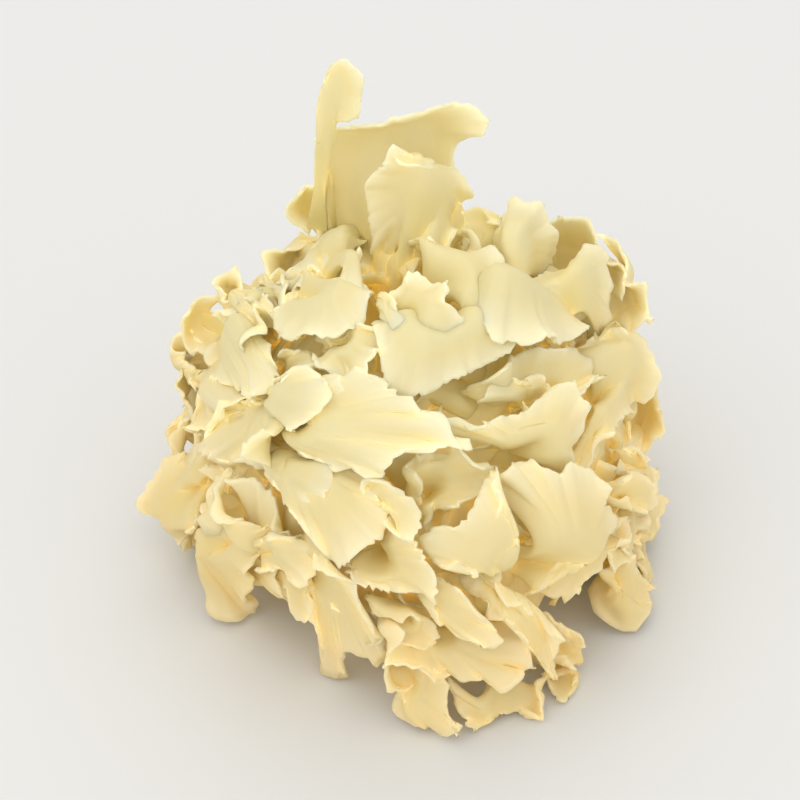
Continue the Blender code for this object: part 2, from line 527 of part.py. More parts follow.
def frond_mesh(name, rows, sides):
    """The open sheet of one frond."""
    shape = bmesh.new()
    net = [[shape.verts.new(kept_in_wedge(point, sides)) for point in row] for row in rows]
    for inner, outer in zip(net, net[1:]):
        for place in range(len(inner) - 1):
            shape.faces.new((inner[place], inner[place + 1], outer[place + 1], outer[place]))
    return mesh_of(name, shape)


def shells_of(shape):
    """The faces of each separate closed shell of a mesh."""
    waiting = set(shape.faces)
    while waiting:
        shell, edge_of_search = set(), [waiting.pop()]
        while edge_of_search:
            face = edge_of_search.pop()
            shell.add(face)
            for edge in face.edges:
                if len(edge.link_faces) != 2:
                    continue
                for neighbour in edge.link_faces:
                    if neighbour in waiting:
                        waiting.discard(neighbour)
                        edge_of_search.append(neighbour)
        yield shell


def volume_within(shell):
    """The volume inside a shell, which is negative for the wall of a sealed hollow."""
    total = 0
    for face in shell:
        first, *rest = [loop.vert.co for loop in face.loops]
        for second, third in zip(rest, rest[1:]):
            total += first.dot(second.cross(third)) / 6
    return total


def join(piece, other, operation):
    """Joins or cuts the piece with another object, and keeps only its outer skin."""
    shape = applied(piece, "BOOLEAN", operation=operation, object=other, solver="MANIFOLD")
    shells = sorted(shells_of(shape), key=volume_within)
    sealed_hollows = [face for shell in shells[:-1] for face in shell]
    bmesh.ops.delete(shape, geom=sealed_hollows, context="FACES")
    shape.to_mesh(piece.data)
    shape.free()


for leftover in list(bpy.data.objects):
    bpy.data.objects.remove(leftover)

mushroom = bpy.data.collections.new("cauliflower mushroom")
helpers = bpy.data.collections.new("helpers")
bpy.context.scene.collection.children.link(mushroom)
bpy.context.scene.collection.children.link(helpers)

foot = new_object("foot", foot_mesh("foot", 0), mushroom)
foot.data.materials.append(flesh("foot flesh", FOOT_COLOUR, FOOT_ROUGHNESS))
foot_clearance = helper("foot_clearance", foot_mesh("foot_clearance", FOOT_CLEARANCE))

grown = {name: noted_fronds(name) for name in [*BRANCHES, *TURNED_BRANCHES]}
headings = {name: heading(sheets) for name, (fork, sheets) in grown.items()}
for number in range(FILLING_FRONDS):
    direction, root, margin = filling_frond(number)
    if direction.dot(TOWARDS_VIEWER) > FRONT_IS_NOTED:
        continue
    name = max(headings, key=lambda branch: headings[branch].dot(direction))
    fork, sheets = grown[name]
    sheets.append(frond_rows(start_of_frond(name, fork, len(sheets)), root, margin))

for name, (fork, sheets) in grown.items():
    sides = [(headings[name] - headings[other]).normalized() for other in grown if other != name]
    branch = new_object(name, limb_mesh(name, fork, sides), mushroom)
    branch.data.materials.append(flesh(name + " flesh", FROND_COLOUR, FROND_ROUGHNESS))
    join(branch, foot_clearance, "DIFFERENCE")
    for number, rows in enumerate(sheets):
        frond_name = f"{name}_frond_{number + 1}"
        frond = helper(frond_name, frond_mesh(frond_name, rows, sides))
        skin = frond.modifiers.new("thickness", "SOLIDIFY")
        skin.thickness = FROND_THICKNESS
        skin.offset = 0
        join(branch, frond, "UNION")

for piece in mushroom.objects:
    piece.data.shade_smooth()
    piece.data.set_sharp_from_angle(angle=SHARP_EDGE)
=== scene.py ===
# %% [markdown]
# A cauliflower mushroom is one body with hundreds of fronds. A short thick foot parts into branches,
# and every branch parts again into thin sheets of flesh whose margins grow faster than their middles.
# A margin that is too long for its sheet has to swing in and out, and that makes the ruffles. This
# lesson grows such fronds around a frame of plain solids that already has the right size.

# %% Load the plain solids that the fronds are built around
import math

import bpy
import numpy as np
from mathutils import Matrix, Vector


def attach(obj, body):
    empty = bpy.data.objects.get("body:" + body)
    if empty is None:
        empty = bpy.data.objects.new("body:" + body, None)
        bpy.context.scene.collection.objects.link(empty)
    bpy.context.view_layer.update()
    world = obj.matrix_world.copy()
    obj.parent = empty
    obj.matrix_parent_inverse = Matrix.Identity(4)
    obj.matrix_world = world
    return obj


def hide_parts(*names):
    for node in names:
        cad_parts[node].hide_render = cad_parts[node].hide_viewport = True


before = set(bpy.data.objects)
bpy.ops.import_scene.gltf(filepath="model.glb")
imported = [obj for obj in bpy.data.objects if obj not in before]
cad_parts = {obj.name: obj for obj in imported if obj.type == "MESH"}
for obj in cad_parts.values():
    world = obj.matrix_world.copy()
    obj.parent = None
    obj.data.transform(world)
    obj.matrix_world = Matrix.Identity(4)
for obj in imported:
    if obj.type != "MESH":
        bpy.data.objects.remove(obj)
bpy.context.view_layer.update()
print("solids:", sorted(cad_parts))

# %% [markdown]
# Each frond is noted the way a person would sketch it from in front and above: how far to the right
# and how far up it is, and how far it stands out from a smooth mound of the mushroom's size. Notes in
# a flat view are easy to compare with a picture. The other way would be to place every point in space
# by hand, and then a small slip in depth is hard to see. One function turns a note into a place: it
# follows the viewer's line of sight to the mound, and then steps out by the noted amount.

# %% Turn notes into places
MM = 0.001
# Half the width, half the depth and the height of the smooth mound
MOUND = np.array([70, 75, 105]) * MM
SIGHT_ABOVE_LEVEL = math.radians(40)
SIGHT_DISTANCE = 700 * MM
SIGHTED_POINT = np.array([0, 0, 60]) * MM
TOWARDS_VIEWER = np.array([0, -math.cos(SIGHT_ABOVE_LEVEL), math.sin(SIGHT_ABOVE_LEVEL)])
PICTURE_UP = np.array([0, math.sin(SIGHT_ABOVE_LEVEL), math.cos(SIGHT_ABOVE_LEVEL)])
RIGHT = np.array([1.0, 0, 0])
VIEWER = SIGHTED_POINT + SIGHT_DISTANCE * TOWARDS_VIEWER
LOWEST_FROND = 1.6 * MM


def stand(notes, further_out=0):
    """The places of notes (right, up, out), in millimetres, as a viewer in front sees them."""
    right, up, out = (np.atleast_2d(np.array(notes, float)) * MM).T
    seen = SIGHTED_POINT + right[:, None] * RIGHT + up[:, None] * PICTURE_UP
    sight = (VIEWER - seen) / SIGHT_DISTANCE
    a = ((sight / MOUND) ** 2).sum(1)
    b = (sight * seen / MOUND**2).sum(1)
    c = ((seen / MOUND) ** 2).sum(1) - 1
    along = (np.sqrt(np.maximum(b * b - a * c, 0)) - b) / a + out + further_out
    along = np.maximum(along, (LOWEST_FROND - seen[:, 2]) / sight[:, 2])
    return seen + sight * along[:, None]


print("the note (0, 0, 0) stands at", stand((0, 0, 0))[0].round(4))

# %% [markdown]
# These are the notes themselves. A branch has the place of its fork. A frond has the root of its sheet
# and then its margin, from one end to the other. The fronds could be pulled into shape by hand in Edit
# Mode, but a list of places is easier to mend and shows what was meant. The crown comes first: a tall
# blade with a hooked tip beside it, which is what a person sees first, and the smooth lobes in front
# of it.

# %% Note the crown and the lobes in front of it
BRANCHES = {}


def print_fronds(*names):
    """Print how many fronds each of these branches has."""
    print({name: len(BRANCHES[name][1]) for name in names})


BRANCHES["crown_branch"] = ((-6, 26, -34), {
    "tall_blade": ((-6, 44, -10), [(-29, 44, -2), (-29.5, 62, 2), (-29, 77, 5), (-25, 79, 6),
        (-19, 78, 7), (-10, 80, 9), (0, 83.5, 9), (8, 87, 7), (14, 85, 5), (22, 82, 3), (21, 77, 0),
        (13, 72, -4), (13, 60, -8), (14, 48, -8)]),
    "hook_tip": ((-27, 72, 4), [(-29, 78, 4), (-28.5, 88, 6), (-25, 95, 8), (-21, 100, 10), (-15, 95, 13),
        (-14, 91, 13), (-15.5, 83, 8), (-19, 81.5, 6), (-24, 80, 5)]),
    "spur": ((0, 44, 2), [(-12, 46, 8), (-13.5, 56, 9), (-15, 64.5, 10), (-9.5, 69, 13), (-8, 74, 14),
        (-5, 76.5, 14), (-2, 72, 15), (4, 70, 12), (9, 68, 5), (12, 62, 0), (13, 54, -4), (9, 45, 0)]),
    "left_flap": ((-24, 46, -10), [(-31, 50, -6), (-34, 53, -6), (-37, 55, -5), (-35, 59, -5),
        (-32, 62, -5), (-28, 63, -6)]),
    "mid_lobe": ((18, 40, -8), [(13, 44, -4), (13, 51, -2), (14.5, 55, 0), (20, 57.5, 1), (24, 54, 1),
        (26, 50, 0), (26, 42, 2)]),
    "hollow_lobe": ((8, 42, -8), [(4, 58, -4), (8, 60, -3), (12, 57, -2), (14, 52, 0), (15, 46, 3)]),
    "hollow_back": ((-9, 34, -26), [(-21, 38, -16), (-21, 45, -17), (-17, 51, -18), (-10, 52, -18),
        (-2, 50, -17), (3, 43, -15), (2, 36, -13)]),
})
BRANCHES["top_branch"] = ((2, 14, -34), {
    "shell_lobe": ((6, 30, 0), [(-3, 46, -2), (1, 44, 1), (5, 43.5, 3), (12, 44, 5), (16, 43, 6),
        (21, 40, 7), (25, 36, 7), (26, 30, 7), (26, 24, 7), (20, 21, 7)]),
    "bright_lobe": ((-2, 22, 4), [(-9, 29, 3), (-4, 35, 7), (0, 37.5, 9), (5, 35, 10), (10, 33, 11),
        (11, 29, 11), (8, 26.5, 10), (12, 25.5, 12), (15, 23, 12), (15.5, 19, 11), (10, 17, 9)]),
    "hanging_tab": ((-8, 27, 4), [(-10, 29, 6), (-5, 29.5, 9), (-4, 24, 10), (-2, 22.5, 11), (-4, 20, 11),
        (-8, 19, 10), (-9, 23, 8)]),
})
print_fronds("crown_branch", "top_branch")

# %% [markdown]
# Right and left of the crown the fronds open like bowls and shells. Of the three numbers of a place the
# last says how far it stands out. Fronds at the back have a smaller one, which sets them further in, so
# that the fronds in front hide their roots.

# %% Note the upper fronds on both sides
BRANCHES["upper_right_branch"] = ((40, 10, -34), {
    "right_blade": ((32, 22, -4), [(26, 22, 3), (27, 40, 2), (27.5, 58, 0), (31, 58.5, 1), (35, 57.5, 2),
        (38.5, 57.5, 2), (39.5, 54, 1), (39, 51, -1), (42, 44, -6)]),
    "back_rim": ((44, 26, -12), [(34, 46, -9), (38, 49, -8), (44, 48.5, -7), (50, 49, -6), (54, 46, -5),
        (57, 44.5, -4), (58.5, 40, -3), (62, 39.5, -3), (61, 34, -2)]),
    "front_fold": ((42, 22, 4), [(27, 26, 7), (33, 33, 8), (40, 34, 9), (45, 37, 9), (48, 42, 8),
        (51, 46, 4), (56, 42, 1), (58, 34, 0), (58, 26, 0)]),
    "right_shoulder": ((56, 24, -6), [(58, 44, -5), (62, 39, -5), (61, 33, -4), (66, 28, -4),
        (70, 24, -3), (73, 21, -3), (66, 20, 0), (60, 16, 3)]),
    "skirt": ((36, 30, 2), [(20, 20, 7), (24, 13.5, 11), (28, 17, 12), (33, 14, 13), (42, 16, 13),
        (49, 17, 12), (48.5, 21, 11), (52, 28, 6)]),
    "hollow_frond": ((38, 2, -10), [(20, 7, -2), (28, 12, 0), (36, 15, 1), (44, 15.5, 2), (50, 13.5, 4),
        (53, 9, 6), (55.5, 5, 7), (52, 1, 6), (46, -2, 4)]),
})
BRANCHES["upper_left_branch"] = ((-36, 12, -32), {
    "cup_wall": ((-28, 34, -4), [(-29, 44, -4), (-24, 47, -4), (-18, 49.5, -4), (-18.5, 45, -1),
        (-19.5, 41, 1), (-16.5, 38.5, 2), (-18.5, 34, 4), (-14, 30.5, 5), (-20, 28, 6)]),
    "left_bowl": ((-32, 26, -1), [(-36, 35, 1), (-28, 36, 0), (-20, 33.5, 0), (-11.5, 29, 2),
        (-11.5, 26, 4), (-14, 22.5, 6), (-17, 19, 7), (-22, 16.5, 8), (-28, 15, 8), (-35, 14.5, 7),
        (-39, 17, 6), (-40, 22, 5), (-38, 28, 4)]),
    "left_lobe": ((-50, 27, 0), [(-53, 35, -3), (-57, 35, -3), (-59.5, 33, -2), (-58, 27, 1),
        (-55, 22, 3), (-50, 17.5, 5), (-44, 14, 7), (-41, 15, 7), (-40.5, 20, 5), (-41, 26, 3),
        (-45, 31, 0)]),
    "ridge_lobe": ((-36, 34, -8), [(-48, 35, -6), (-44, 40, -6), (-41, 43, -6), (-37, 43.5, -6),
        (-34, 47, -7), (-32, 52, -8), (-29, 47, -4), (-26, 42, 0), (-25, 37, 2), (-30, 35, 3)]),
    "far_upper_lobe": ((-58, 22, -4), [(-60, 28, -5), (-63, 28, -6), (-65, 25, -6), (-66, 20, -5),
        (-66, 15, -3), (-61, 14, 1), (-56, 15, 3), (-52, 17, 4)]),
    "far_lower_lobe": ((-63, 10, -4), [(-64, 17, -5), (-70, 17, -6), (-74, 15, -7), (-73, 10, -6),
        (-70, 5, -4), (-65, 2, -1), (-58, 3, 3), (-55, 7, 4)]),
    "inner_ruffle": ((-44, 28, -4), [(-50, 30, -2), (-46, 36, -2), (-42, 34, 0), (-38, 33, 2),
        (-37, 28, 3), (-39, 24, 4)]),
})
print_fronds("upper_right_branch", "upper_left_branch")

# %% [markdown]
# On the left the fronds hang down and outwards over each other. One of the lowest ends in short rounded
# fingers. Beside it a pocket stays open, which takes a wall at its back as well as a ruffle at its edge.

# %% Note the left side
BRANCHES["left_branch"] = ((-44, -10, -32), {
    "scoop_tongue": ((-52, 11, 0), [(-59, 14, 1), (-57, 7, 5), (-52, 1.5, 8), (-47, -1.5, 10),
        (-42, -2, 12), (-40.5, 2, 12), (-40.5, 8, 10), (-43, 13, 8), (-50, 15, 5)]),
    "crinkle": ((-36, 6, 0), [(-41, 12, 2), (-36, 14, 3), (-31, 14, 4), (-28, 11, 6), (-29, 6, 8),
        (-33, 3, 9), (-37, 3, 9), (-39, 0, 9)]),
    "left_drop": ((-58, 3, -3), [(-66, 9, -4), (-71, 4, -4), (-70.5, 0, -3), (-67, -4, -2), (-63, -9, 0),
        (-60, -12, 2), (-55, -10, 4), (-50, -5, 5), (-48, 2, 5)]),
    "left_pad": ((-42, 0, 3), [(-40, -3, 10), (-46, -1, 9), (-52, -2, 7), (-57, -7, 5), (-61, -13, 3),
        (-59, -18, 4), (-52, -20, 7), (-45, -22, 9), (-38, -21, 11), (-37, -17, 12), (-35, -14, 12),
        (-36, -8, 11)]),
    "left_hand": ((-62, -26, -2), [(-60, -13, 0), (-64, -15.5, -2), (-67, -18, -3), (-69, -15.5, -4),
        (-73, -17, -5), (-76, -20, -5), (-78, -25, -5), (-79, -29, -5), (-76, -32, -4), (-71, -31, -2),
        (-69, -34, -1), (-67, -39, 0), (-63, -38.5, 2), (-60, -36, 3)]),
    "pocket_ruffle": ((-52, -30, -2), [(-62, -34, 3), (-60, -36.5, 4), (-57, -33, 5), (-58, -28, 5),
        (-54, -21, 6), (-52.5, -28, 7), (-51, -34, 7), (-47, -37, 7), (-44, -40, 6)]),
    "pocket_wall": ((-44, -38, -10), [(-60, -19, -2), (-52, -21, -2), (-44, -22, -1), (-39, -29, 0),
        (-34, -36, 1), (-29, -44, 2)]),
})
print_fronds("left_branch")

# %% [markdown]
# In the middle one wide sheet drapes over the others, with a curl at its left end. The right side has a
# tall wing with a small flap, and two plain fronds that lead round the side.

# %% Note the middle and the right side
BRANCHES["middle_branch"] = ((2, -8, -34), {
    "centre_drape": ((-33, -7, 5), [(-36, 3, 9), (-31, 5.5, 9), (-26, 4.5, 10), (-22, 6.5, 10),
        (-18, 4, 11), (-15, 3, 11), (-12, 6.5, 10), (-9, 6, 11), (-5, 2, 12), (2, -2, 13), (8, -5, 14),
        (13, -10, 16), (19, -14.5, 18), (10, -15, 18), (2, -17, 18), (-3, -19.5, 17), (-8, -24, 17),
        (-14, -22.5, 16), (-20, -20.5, 15), (-28, -19.5, 14), (-34, -15, 12)]),
    "curl": ((-38, -1, 10), [(-39, 4, 13), (-33, 6.5, 14), (-27, 5, 15), (-23, 1, 16), (-23, -4, 16),
        (-27, -8, 16), (-33, -9, 15), (-38, -6, 13)]),
    "upper_sheet": ((6, 20, 2), [(-12, 20, 5), (-10, 10, 7), (-8, 2, 9), (0, -1, 9), (6, 0, 7), (9, 3, 5),
        (14, 5, 5), (19, 8, 6), (26, 11, 7), (31, 13.5, 8), (30, 18, 7)]),
    "side_lobes": ((-16, 12, 0), [(-28, 14, 2), (-25, 17, 3), (-20, 15, 4), (-17, 20, 5), (-12, 22, 6),
        (-8, 20, 7), (-8, 12, 8), (-13, 5, 9), (-19, 4, 9), (-25, 6, 8), (-28, 9, 6)]),
    "inner_curls": ((28, -4, -8), [(20, 0, 0), (23, 6, 1), (28, 6.5, 2), (30, 3, 3), (33, 7, 3),
        (38, 7, 3), (39, 2, 3)]),
    "lower_sheet": ((28, -16, 2), [(8, -6, 3), (15, -8, 5), (20, -7.5, 6), (26, -5, 7), (33, -3, 8),
        (37, 0, 8), (41, 3, 9), (43.5, 4, 9), (46, 0, 9), (48, -8, 7), (46, -18, 4)]),
})
BRANCHES["right_branch"] = ((46, -16, -32), {
    "right_wing": ((54, -2, -2), [(50, 15, 0), (53, 15, 3), (57, 17.5, 3), (61, 19.5, 1), (65, 19.5, 0),
        (68, 16, 0), (69, 8, 1), (70, 0, 2), (66, -2.5, 4), (62, -3, 5), (59, -7, 5), (55, -14, 4),
        (51, -20, 2)]),
    "wing_flap": ((60, 16, 2), [(52, 12.5, 6), (56, 16.5, 6), (61, 19.5, 4), (62, 15, 7), (59, 11, 9),
        (55.5, 12, 9)]),
    "right_side_upper": ((62, -8, -14), [(66, 12, -14), (72, 6, -16), (76, -2, -16), (74, -10, -12),
        (68, -16, -8), (62, -16, -6)]),
    "right_side_lower": ((58, -30, -12), [(64, -18, -14), (70, -26, -14), (70, -36, -12), (64, -44, -8),
        (58, -46, -5), (54, -38, -3)]),
})
print_fronds("middle_branch", "right_branch")

# %% [markdown]
# Below the middle large fronds lie over each other like the petals of a rose: a fan, an ear with a cup
# behind it, and a wide panel on the left.

# %% Note the large petals in front
BRANCHES["front_branch"] = ((6, -38, -32), {
    "centre_fan": ((32, -52, 3), [(27, -20, 8), (31, -18.5, 9), (34, -18, 10), (38, -20, 11),
        (42, -21.5, 12), (44, -19, 12), (48, -20, 12), (51, -22.5, 11), (53, -26, 10), (56, -32, 8),
        (58, -37, 6), (54, -40.5, 7), (50, -41.5, 8), (44, -48, 9), (38, -57, 9)]),
    "centre_ear": ((24, -49, 4), [(19, -51.5, 11), (14, -52, 12), (9, -51.5, 12), (5, -48, 12),
        (1, -43, 11), (3, -39.5, 10), (9, -37, 9), (15, -33, 9), (19, -28, 9), (25, -20, 9),
        (28, -26, 13), (29.5, -36, 16), (28, -42, 16), (24, -45, 14)]),
    "centre_cup": ((2, -32, -4), [(-3, -27, 3), (-3, -20, 5), (2, -17, 6), (10, -15.5, 5), (18, -15.5, 4),
        (23, -20, 3), (22, -27, 3), (16, -32, 5), (8, -34, 7), (4, -38, 8)]),
    "left_panel": ((-24, -21, 4), [(-42, -22, 6), (-40, -27, 8), (-36, -33, 9), (-31, -41, 11),
        (-28, -45, 12), (-22, -50, 13), (-15, -46, 13), (-8, -41, 13), (-7, -37.5, 13), (-10, -32, 12),
        (-11, -27, 11), (-10, -23, 9)]),
    "eyelet": ((-34, -22, 8), [(-40, -21, 8), (-38, -28, 10), (-33, -31, 12), (-27, -31, 13),
        (-23, -27, 14), (-22, -22, 12), (-26, -20, 10)]),
    "hook_ribbon": ((-8, -32, 5), [(-12, -28, 10), (-8, -25, 12), (-4, -26, 13), (-3, -30, 14),
        (1, -34, 14), (5, -38.5, 13), (1, -40, 14), (-4, -35.5, 14), (-9, -31.5, 13)]),
    "lower_sheet_front": ((-8, -44, 2), [(-20, -49, 9), (-18, -56, 10), (-8, -58, 11), (0, -58, 11),
        (6, -58, 11), (9, -53, 11), (5, -48, 11), (1, -42, 10), (-2, -38, 9)]),
})
print_fronds("front_branch")

# %% [markdown]
# Low in front the fronds come down to the ground. On the left a strap and a leg hang down with an arch
# between them, and on the right petals and leaves lie in layers. A place of ON_SURFACE is for a tip
# that hangs down to what the mushroom stands on.

# %% Note the low fronds in front
ON_SURFACE = -99
BRANCHES["front_left_branch"] = ((-34, -52, -26), {
    "strap": ((-34, -45, 1), [(-34, -52, 5), (-29.5, -57, 4), (-30, -66, 0), (-27.5, -74, -8),
        (-27, -80, ON_SURFACE), (-22, -84, ON_SURFACE), (-20, -82, ON_SURFACE), (-20, -75, -8),
        (-14, -77, -5), (-8, -79, -2), (-9, -73, 5), (-12, -67, 9), (-17, -59, 11), (-21, -52, 12),
        (-27, -46, 11)]),
    "arch": ((-42, -46, 1), [(-53, -43, 6), (-47, -44.5, 7), (-42, -41, 8), (-37, -40, 9), (-31, -44, 10),
        (-28, -50, 9), (-30, -57, 7), (-35, -54, 6), (-41, -51, 5), (-46, -53, 4)]),
    "left_leg": ((-51, -43, -1), [(-57, -39, 2), (-64, -40.5, 1), (-60.5, -46, -2), (-59, -53, -8),
        (-57, -58, -15), (-57.5, -64, ON_SURFACE), (-52, -65.5, ON_SURFACE), (-46, -63, ON_SURFACE),
        (-48, -58, -10), (-46, -50, 0)]),
    "under_arch": ((-34, -50, -4), [(-42, -53, -2), (-38, -56, -2), (-36, -59, -2), (-36.5, -62, -2),
        (-33, -66, -2), (-30, -66, -1), (-28, -57, -1)]),
})
BRANCHES["front_right_branch"] = ((20, -64, -24), {
    "dark_leaf": ((42, -44, -6), [(46, -40, 0), (50, -41, 1), (54, -45, 1), (56, -48, 0), (51, -54, -1),
        (46, -58, -1), (40, -60, 0)]),
    "mid_petal": ((5, -58, 3), [(8, -54.5, 9), (14, -55, 11), (18, -60, 12), (23, -65.5, 12),
        (25.5, -70, 11), (25, -74, 10), (20, -73.5, 10), (13, -71, 10), (7, -67, 9), (2, -61, 8)]),
    "right_petal": ((21, -56, 3), [(26, -54.5, 9), (32, -57, 9), (37, -62, 8), (39.5, -69, 7),
        (41, -76, 5), (42.5, -84, 3), (38, -80, 5), (33, -74, 8), (27, -69, 9), (21, -62, 9)]),
    "right_leaf": ((38, -72, -4), [(39.5, -66, 3), (44, -67, 2), (48, -71, 1), (51, -76, 0), (52, -81, 0),
        (47, -80.5, 1), (41, -79, 3)]),
    "long_leaf": ((26, -81, 0), [(10, -86, 3), (12, -90, 3), (13, -94, 2), (15, -99, 2), (18, -95, 3),
        (24, -93, 4), (30, -92, 4), (36, -90, 3), (37, -87, 3), (40, -83.5, 3)]),
    "bottom_left_leaf": ((2, -78, 0), [(-6, -80.5, 2), (-3, -84, 2), (-1, -88, 2), (1, -94, 2),
        (3.5, -100, 2), (7, -97, 3), (10.5, -98, 3), (10, -94, 4), (13, -91, 4), (9, -86, 6),
        (5, -82, 6)]),
    "small_leaf": ((41, -78, -6), [(40, -81, -1), (45, -81, -1), (46.5, -86, -1), (45, -91, -1),
        (41, -89, -1), (38, -86, -1)]),
    "ledge": ((8, -66, -2), [(-10, -66, 4), (-9, -72, 5), (-9, -78, 5), (-4, -80, 5), (5, -81, 6),
        (12, -83.5, 6), (22, -82, 6), (31, -83, 5), (34, -79, 5), (33, -73, 5)]),
    "ledge_top": ((2, -62, 0), [(-13, -62, 7), (-8, -66, 8), (-2, -66.5, 9), (3, -65, 9), (6, -69, 9),
        (6, -76, 7), (-2, -74, 7), (-10, -70, 7)]),
})
print_fronds("front_left_branch", "front_right_branch")

# %% [markdown]
# The sides and the back carry the same kinds of branch. They could be noted as well, but a viewer in
# front can't see them. So each is like one of the branches above, turned about the middle of the
# mushroom, and most are made a little smaller. That still gives every side its own fronds.

# %% Turn copies of the notes to the sides and the back
# The place low in the middle that all branches grow from
HUB = np.array([4, 2, 24]) * MM
# The branch that each is like, how far it is turned in degrees, and its size
TURNED_BRANCHES = {
    "back_branch": ("front_branch", 178, 0.97),
    "back_upper_left_branch": ("left_branch", -68, 0.94),
    "back_upper_right_branch": ("left_branch", -152, 0.95),
    "back_low_branch": ("front_right_branch", 186, 0.93),
    "back_left_branch": ("front_right_branch", -128, 0.95),
    "back_right_branch": ("front_left_branch", 172, 1.0),
    "right_low_branch": ("front_right_branch", 60, 0.92),
    "left_low_branch": ("front_left_branch", -82, 0.86),
}


def above_ground(points):
    """The points, with those that would dip under the ground lifted to lie just above it."""
    points[..., 2] = np.maximum(points[..., 2], LOWEST_FROND)
    return points


def turned_about_middle(points, degrees, size):
    """Points turned about the upright line through the middle, and resized about the hub."""
    cosine, sine = math.cos(math.radians(degrees)), math.sin(math.radians(degrees))
    x, y, z = np.moveaxis(points, -1, 0)
    around = np.stack([x * cosine - y * sine, x * sine + y * cosine, z], -1)
    return above_ground(HUB + (around - HUB) * size)


every_branch = [*BRANCHES, *TURNED_BRANCHES]
print(len(every_branch), "branches")

# %% [markdown]
# A frond starts as a coarse net of four rows: a short row at the fork, a wider one where its sheet
# begins, one half way out, and the margin. The sheet first follows its stalk and then leans over to
# its margin, as a petal does. A flat sheet with a Simple Deform modifier would bend too, but its outline
# would leave the notes.

# %% Draw the net of a frond
FORK_WIDTH = 9 * MM
ROOT_SHARE = 0.2
MIDDLE_SHARE = 0.55
SIDE_SHARE = 0.1
SIDE_LONGEST = 10 * MM
SIDE_ONWARDS = 0.5
FROND_BELLY = 0.38


def lengths_along(line):
    """How far along the line each of its points is."""
    steps = np.linalg.norm(np.diff(line, axis=0), axis=1)
    return np.concatenate([[0], np.cumsum(steps)])


def unit(vectors):
    """The same directions as vectors of length 1."""
    return vectors / np.maximum(np.linalg.norm(vectors, axis=-1, keepdims=True), 1e-9)


def with_sides_turned_back(line):
    """The line with a point more at both ends, which dives back behind the neighbouring fronds."""
    inward = unit(HUB - line.mean(0))
    depth = min(SIDE_SHARE * lengths_along(line)[-1], SIDE_LONGEST)
    ends = []
    for end, next_one in ((line[0], line[1]), (line[-1], line[-2])):
        onward = unit(end - next_one)
        ends.append(end + (inward + SIDE_ONWARDS * onward) * depth)
    return np.concatenate([ends[:1], line, ends[1:]])


def frond_net(fork, root, margin, resting):
    """The four rows of a frond. resting is the margin before it swings in and out."""
    margin, resting = with_sides_turned_back(margin), with_sides_turned_back(resting)
    outward = unit(root - fork)
    middle = len(margin) // 2
    across = resting[min(middle + 1, len(margin) - 1)] - resting[middle - 1]
    across = unit(across - outward * (across @ outward))
    places = np.linspace(-0.5, 0.5, len(margin))[:, None]
    at_fork = fork + across * places * FORK_WIDTH
    reach = resting - root
    at_root = root + reach * ROOT_SHARE
    rise = outward * np.linalg.norm(reach, axis=1, keepdims=True) * FROND_BELLY
    half_way = root + reach * MIDDLE_SHARE + rise
    return np.array([at_fork, at_root, half_way, margin])


trial_margin = stand([(-20, 0, 0), (0, 10, 0), (20, 0, 0)])
print("net:", frond_net(HUB, stand((0, 0, -7))[0], trial_margin, trial_margin).shape)

# %% [markdown]
# On the real fronds the whole margin swings in and out in long waves, and long margins swing the most.
# Here only the margin row of a net swings, so the folds die away towards the root, where the flesh is
# thick and stiff. A Wave modifier runs its waves straight across a mesh or in rings, but these have to
# follow the margin, so a sine of the distance along it does the work. Some fronds are smoother than the
# rest, and they keep only a share of the folds.

# %% Swing the noted margins
TAU = math.tau
WAVE_LENGTH = 33 * MM
WAVE_HEIGHT = 4.2 * MM
WIDE_FROND = 90 * MM
LEAST_WAVE = 0.3
ROOT_DEPTH = 7 * MM
# Fronds on a neck of their own, with the place that it grows from
NECKS = {"hook_tip": (-27, 50, 0)}
NECK_ROOT_DEPTH = 1 * MM
# The smoother fronds, with the share of the usual folds that each keeps
CALM_FRONDS = {
    "tall_blade": 0.4, "hook_tip": 0.3, "spur": 0.55, "right_blade": 0.45, "front_fold": 0.5,
    "skirt": 0.6, "left_bowl": 0.6, "shell_lobe": 0.6, "upper_sheet": 0.5, "lower_sheet": 0.6,
    "hollow_frond": 0.6, "centre_drape": 0.6, "centre_fan": 0.45, "centre_ear": 0.7, "left_panel": 0.7,
    "scoop_tongue": 0.7, "right_wing": 0.6, "mid_petal": 0.7, "right_petal": 0.7, "strap": 0.5,
    "arch": 0.6, "left_leg": 0.4, "under_arch": 0.5, "left_hand": 0.6, "hollow_back": 0.3,
    "bright_lobe": 0.7, "cup_wall": 0.6,
}


def noted_nets(name):
    """The nets of all the noted fronds of a branch."""
    like, degrees, size = TURNED_BRANCHES.get(name, (name, 0, 1))
    noted_fork, fronds = BRANCHES[like]
    nets = {}
    for frond, (noted_root, noted_margin) in fronds.items():
        fork = stand(NECKS.get(frond, noted_fork))[0]
        calm = CALM_FRONDS.get(frond, 1)
        root = stand(noted_root, -NECK_ROOT_DEPTH if frond in NECKS else -ROOT_DEPTH * calm)[0]
        resting = stand(noted_margin)
        notes = np.array(noted_margin, float)
        flat = lengths_along(notes[:, :2]) * MM
        swing = np.sin(TAU * flat / WAVE_LENGTH + notes[:, 0] + notes[:, 1])
        height = WAVE_HEIGHT * calm * np.clip(flat[-1] / WIDE_FROND, LEAST_WAVE, 1)
        margin = np.concatenate([stand(n, height * s) for n, s in zip(notes, swing)])
        net = frond_net(fork, root, margin, resting)
        nets[frond] = turned_about_middle(net, degrees, size)
    return nets


nets = {name: noted_nets(name) for name in every_branch}
print(sum(len(fronds) for fronds in nets.values()), "noted fronds")

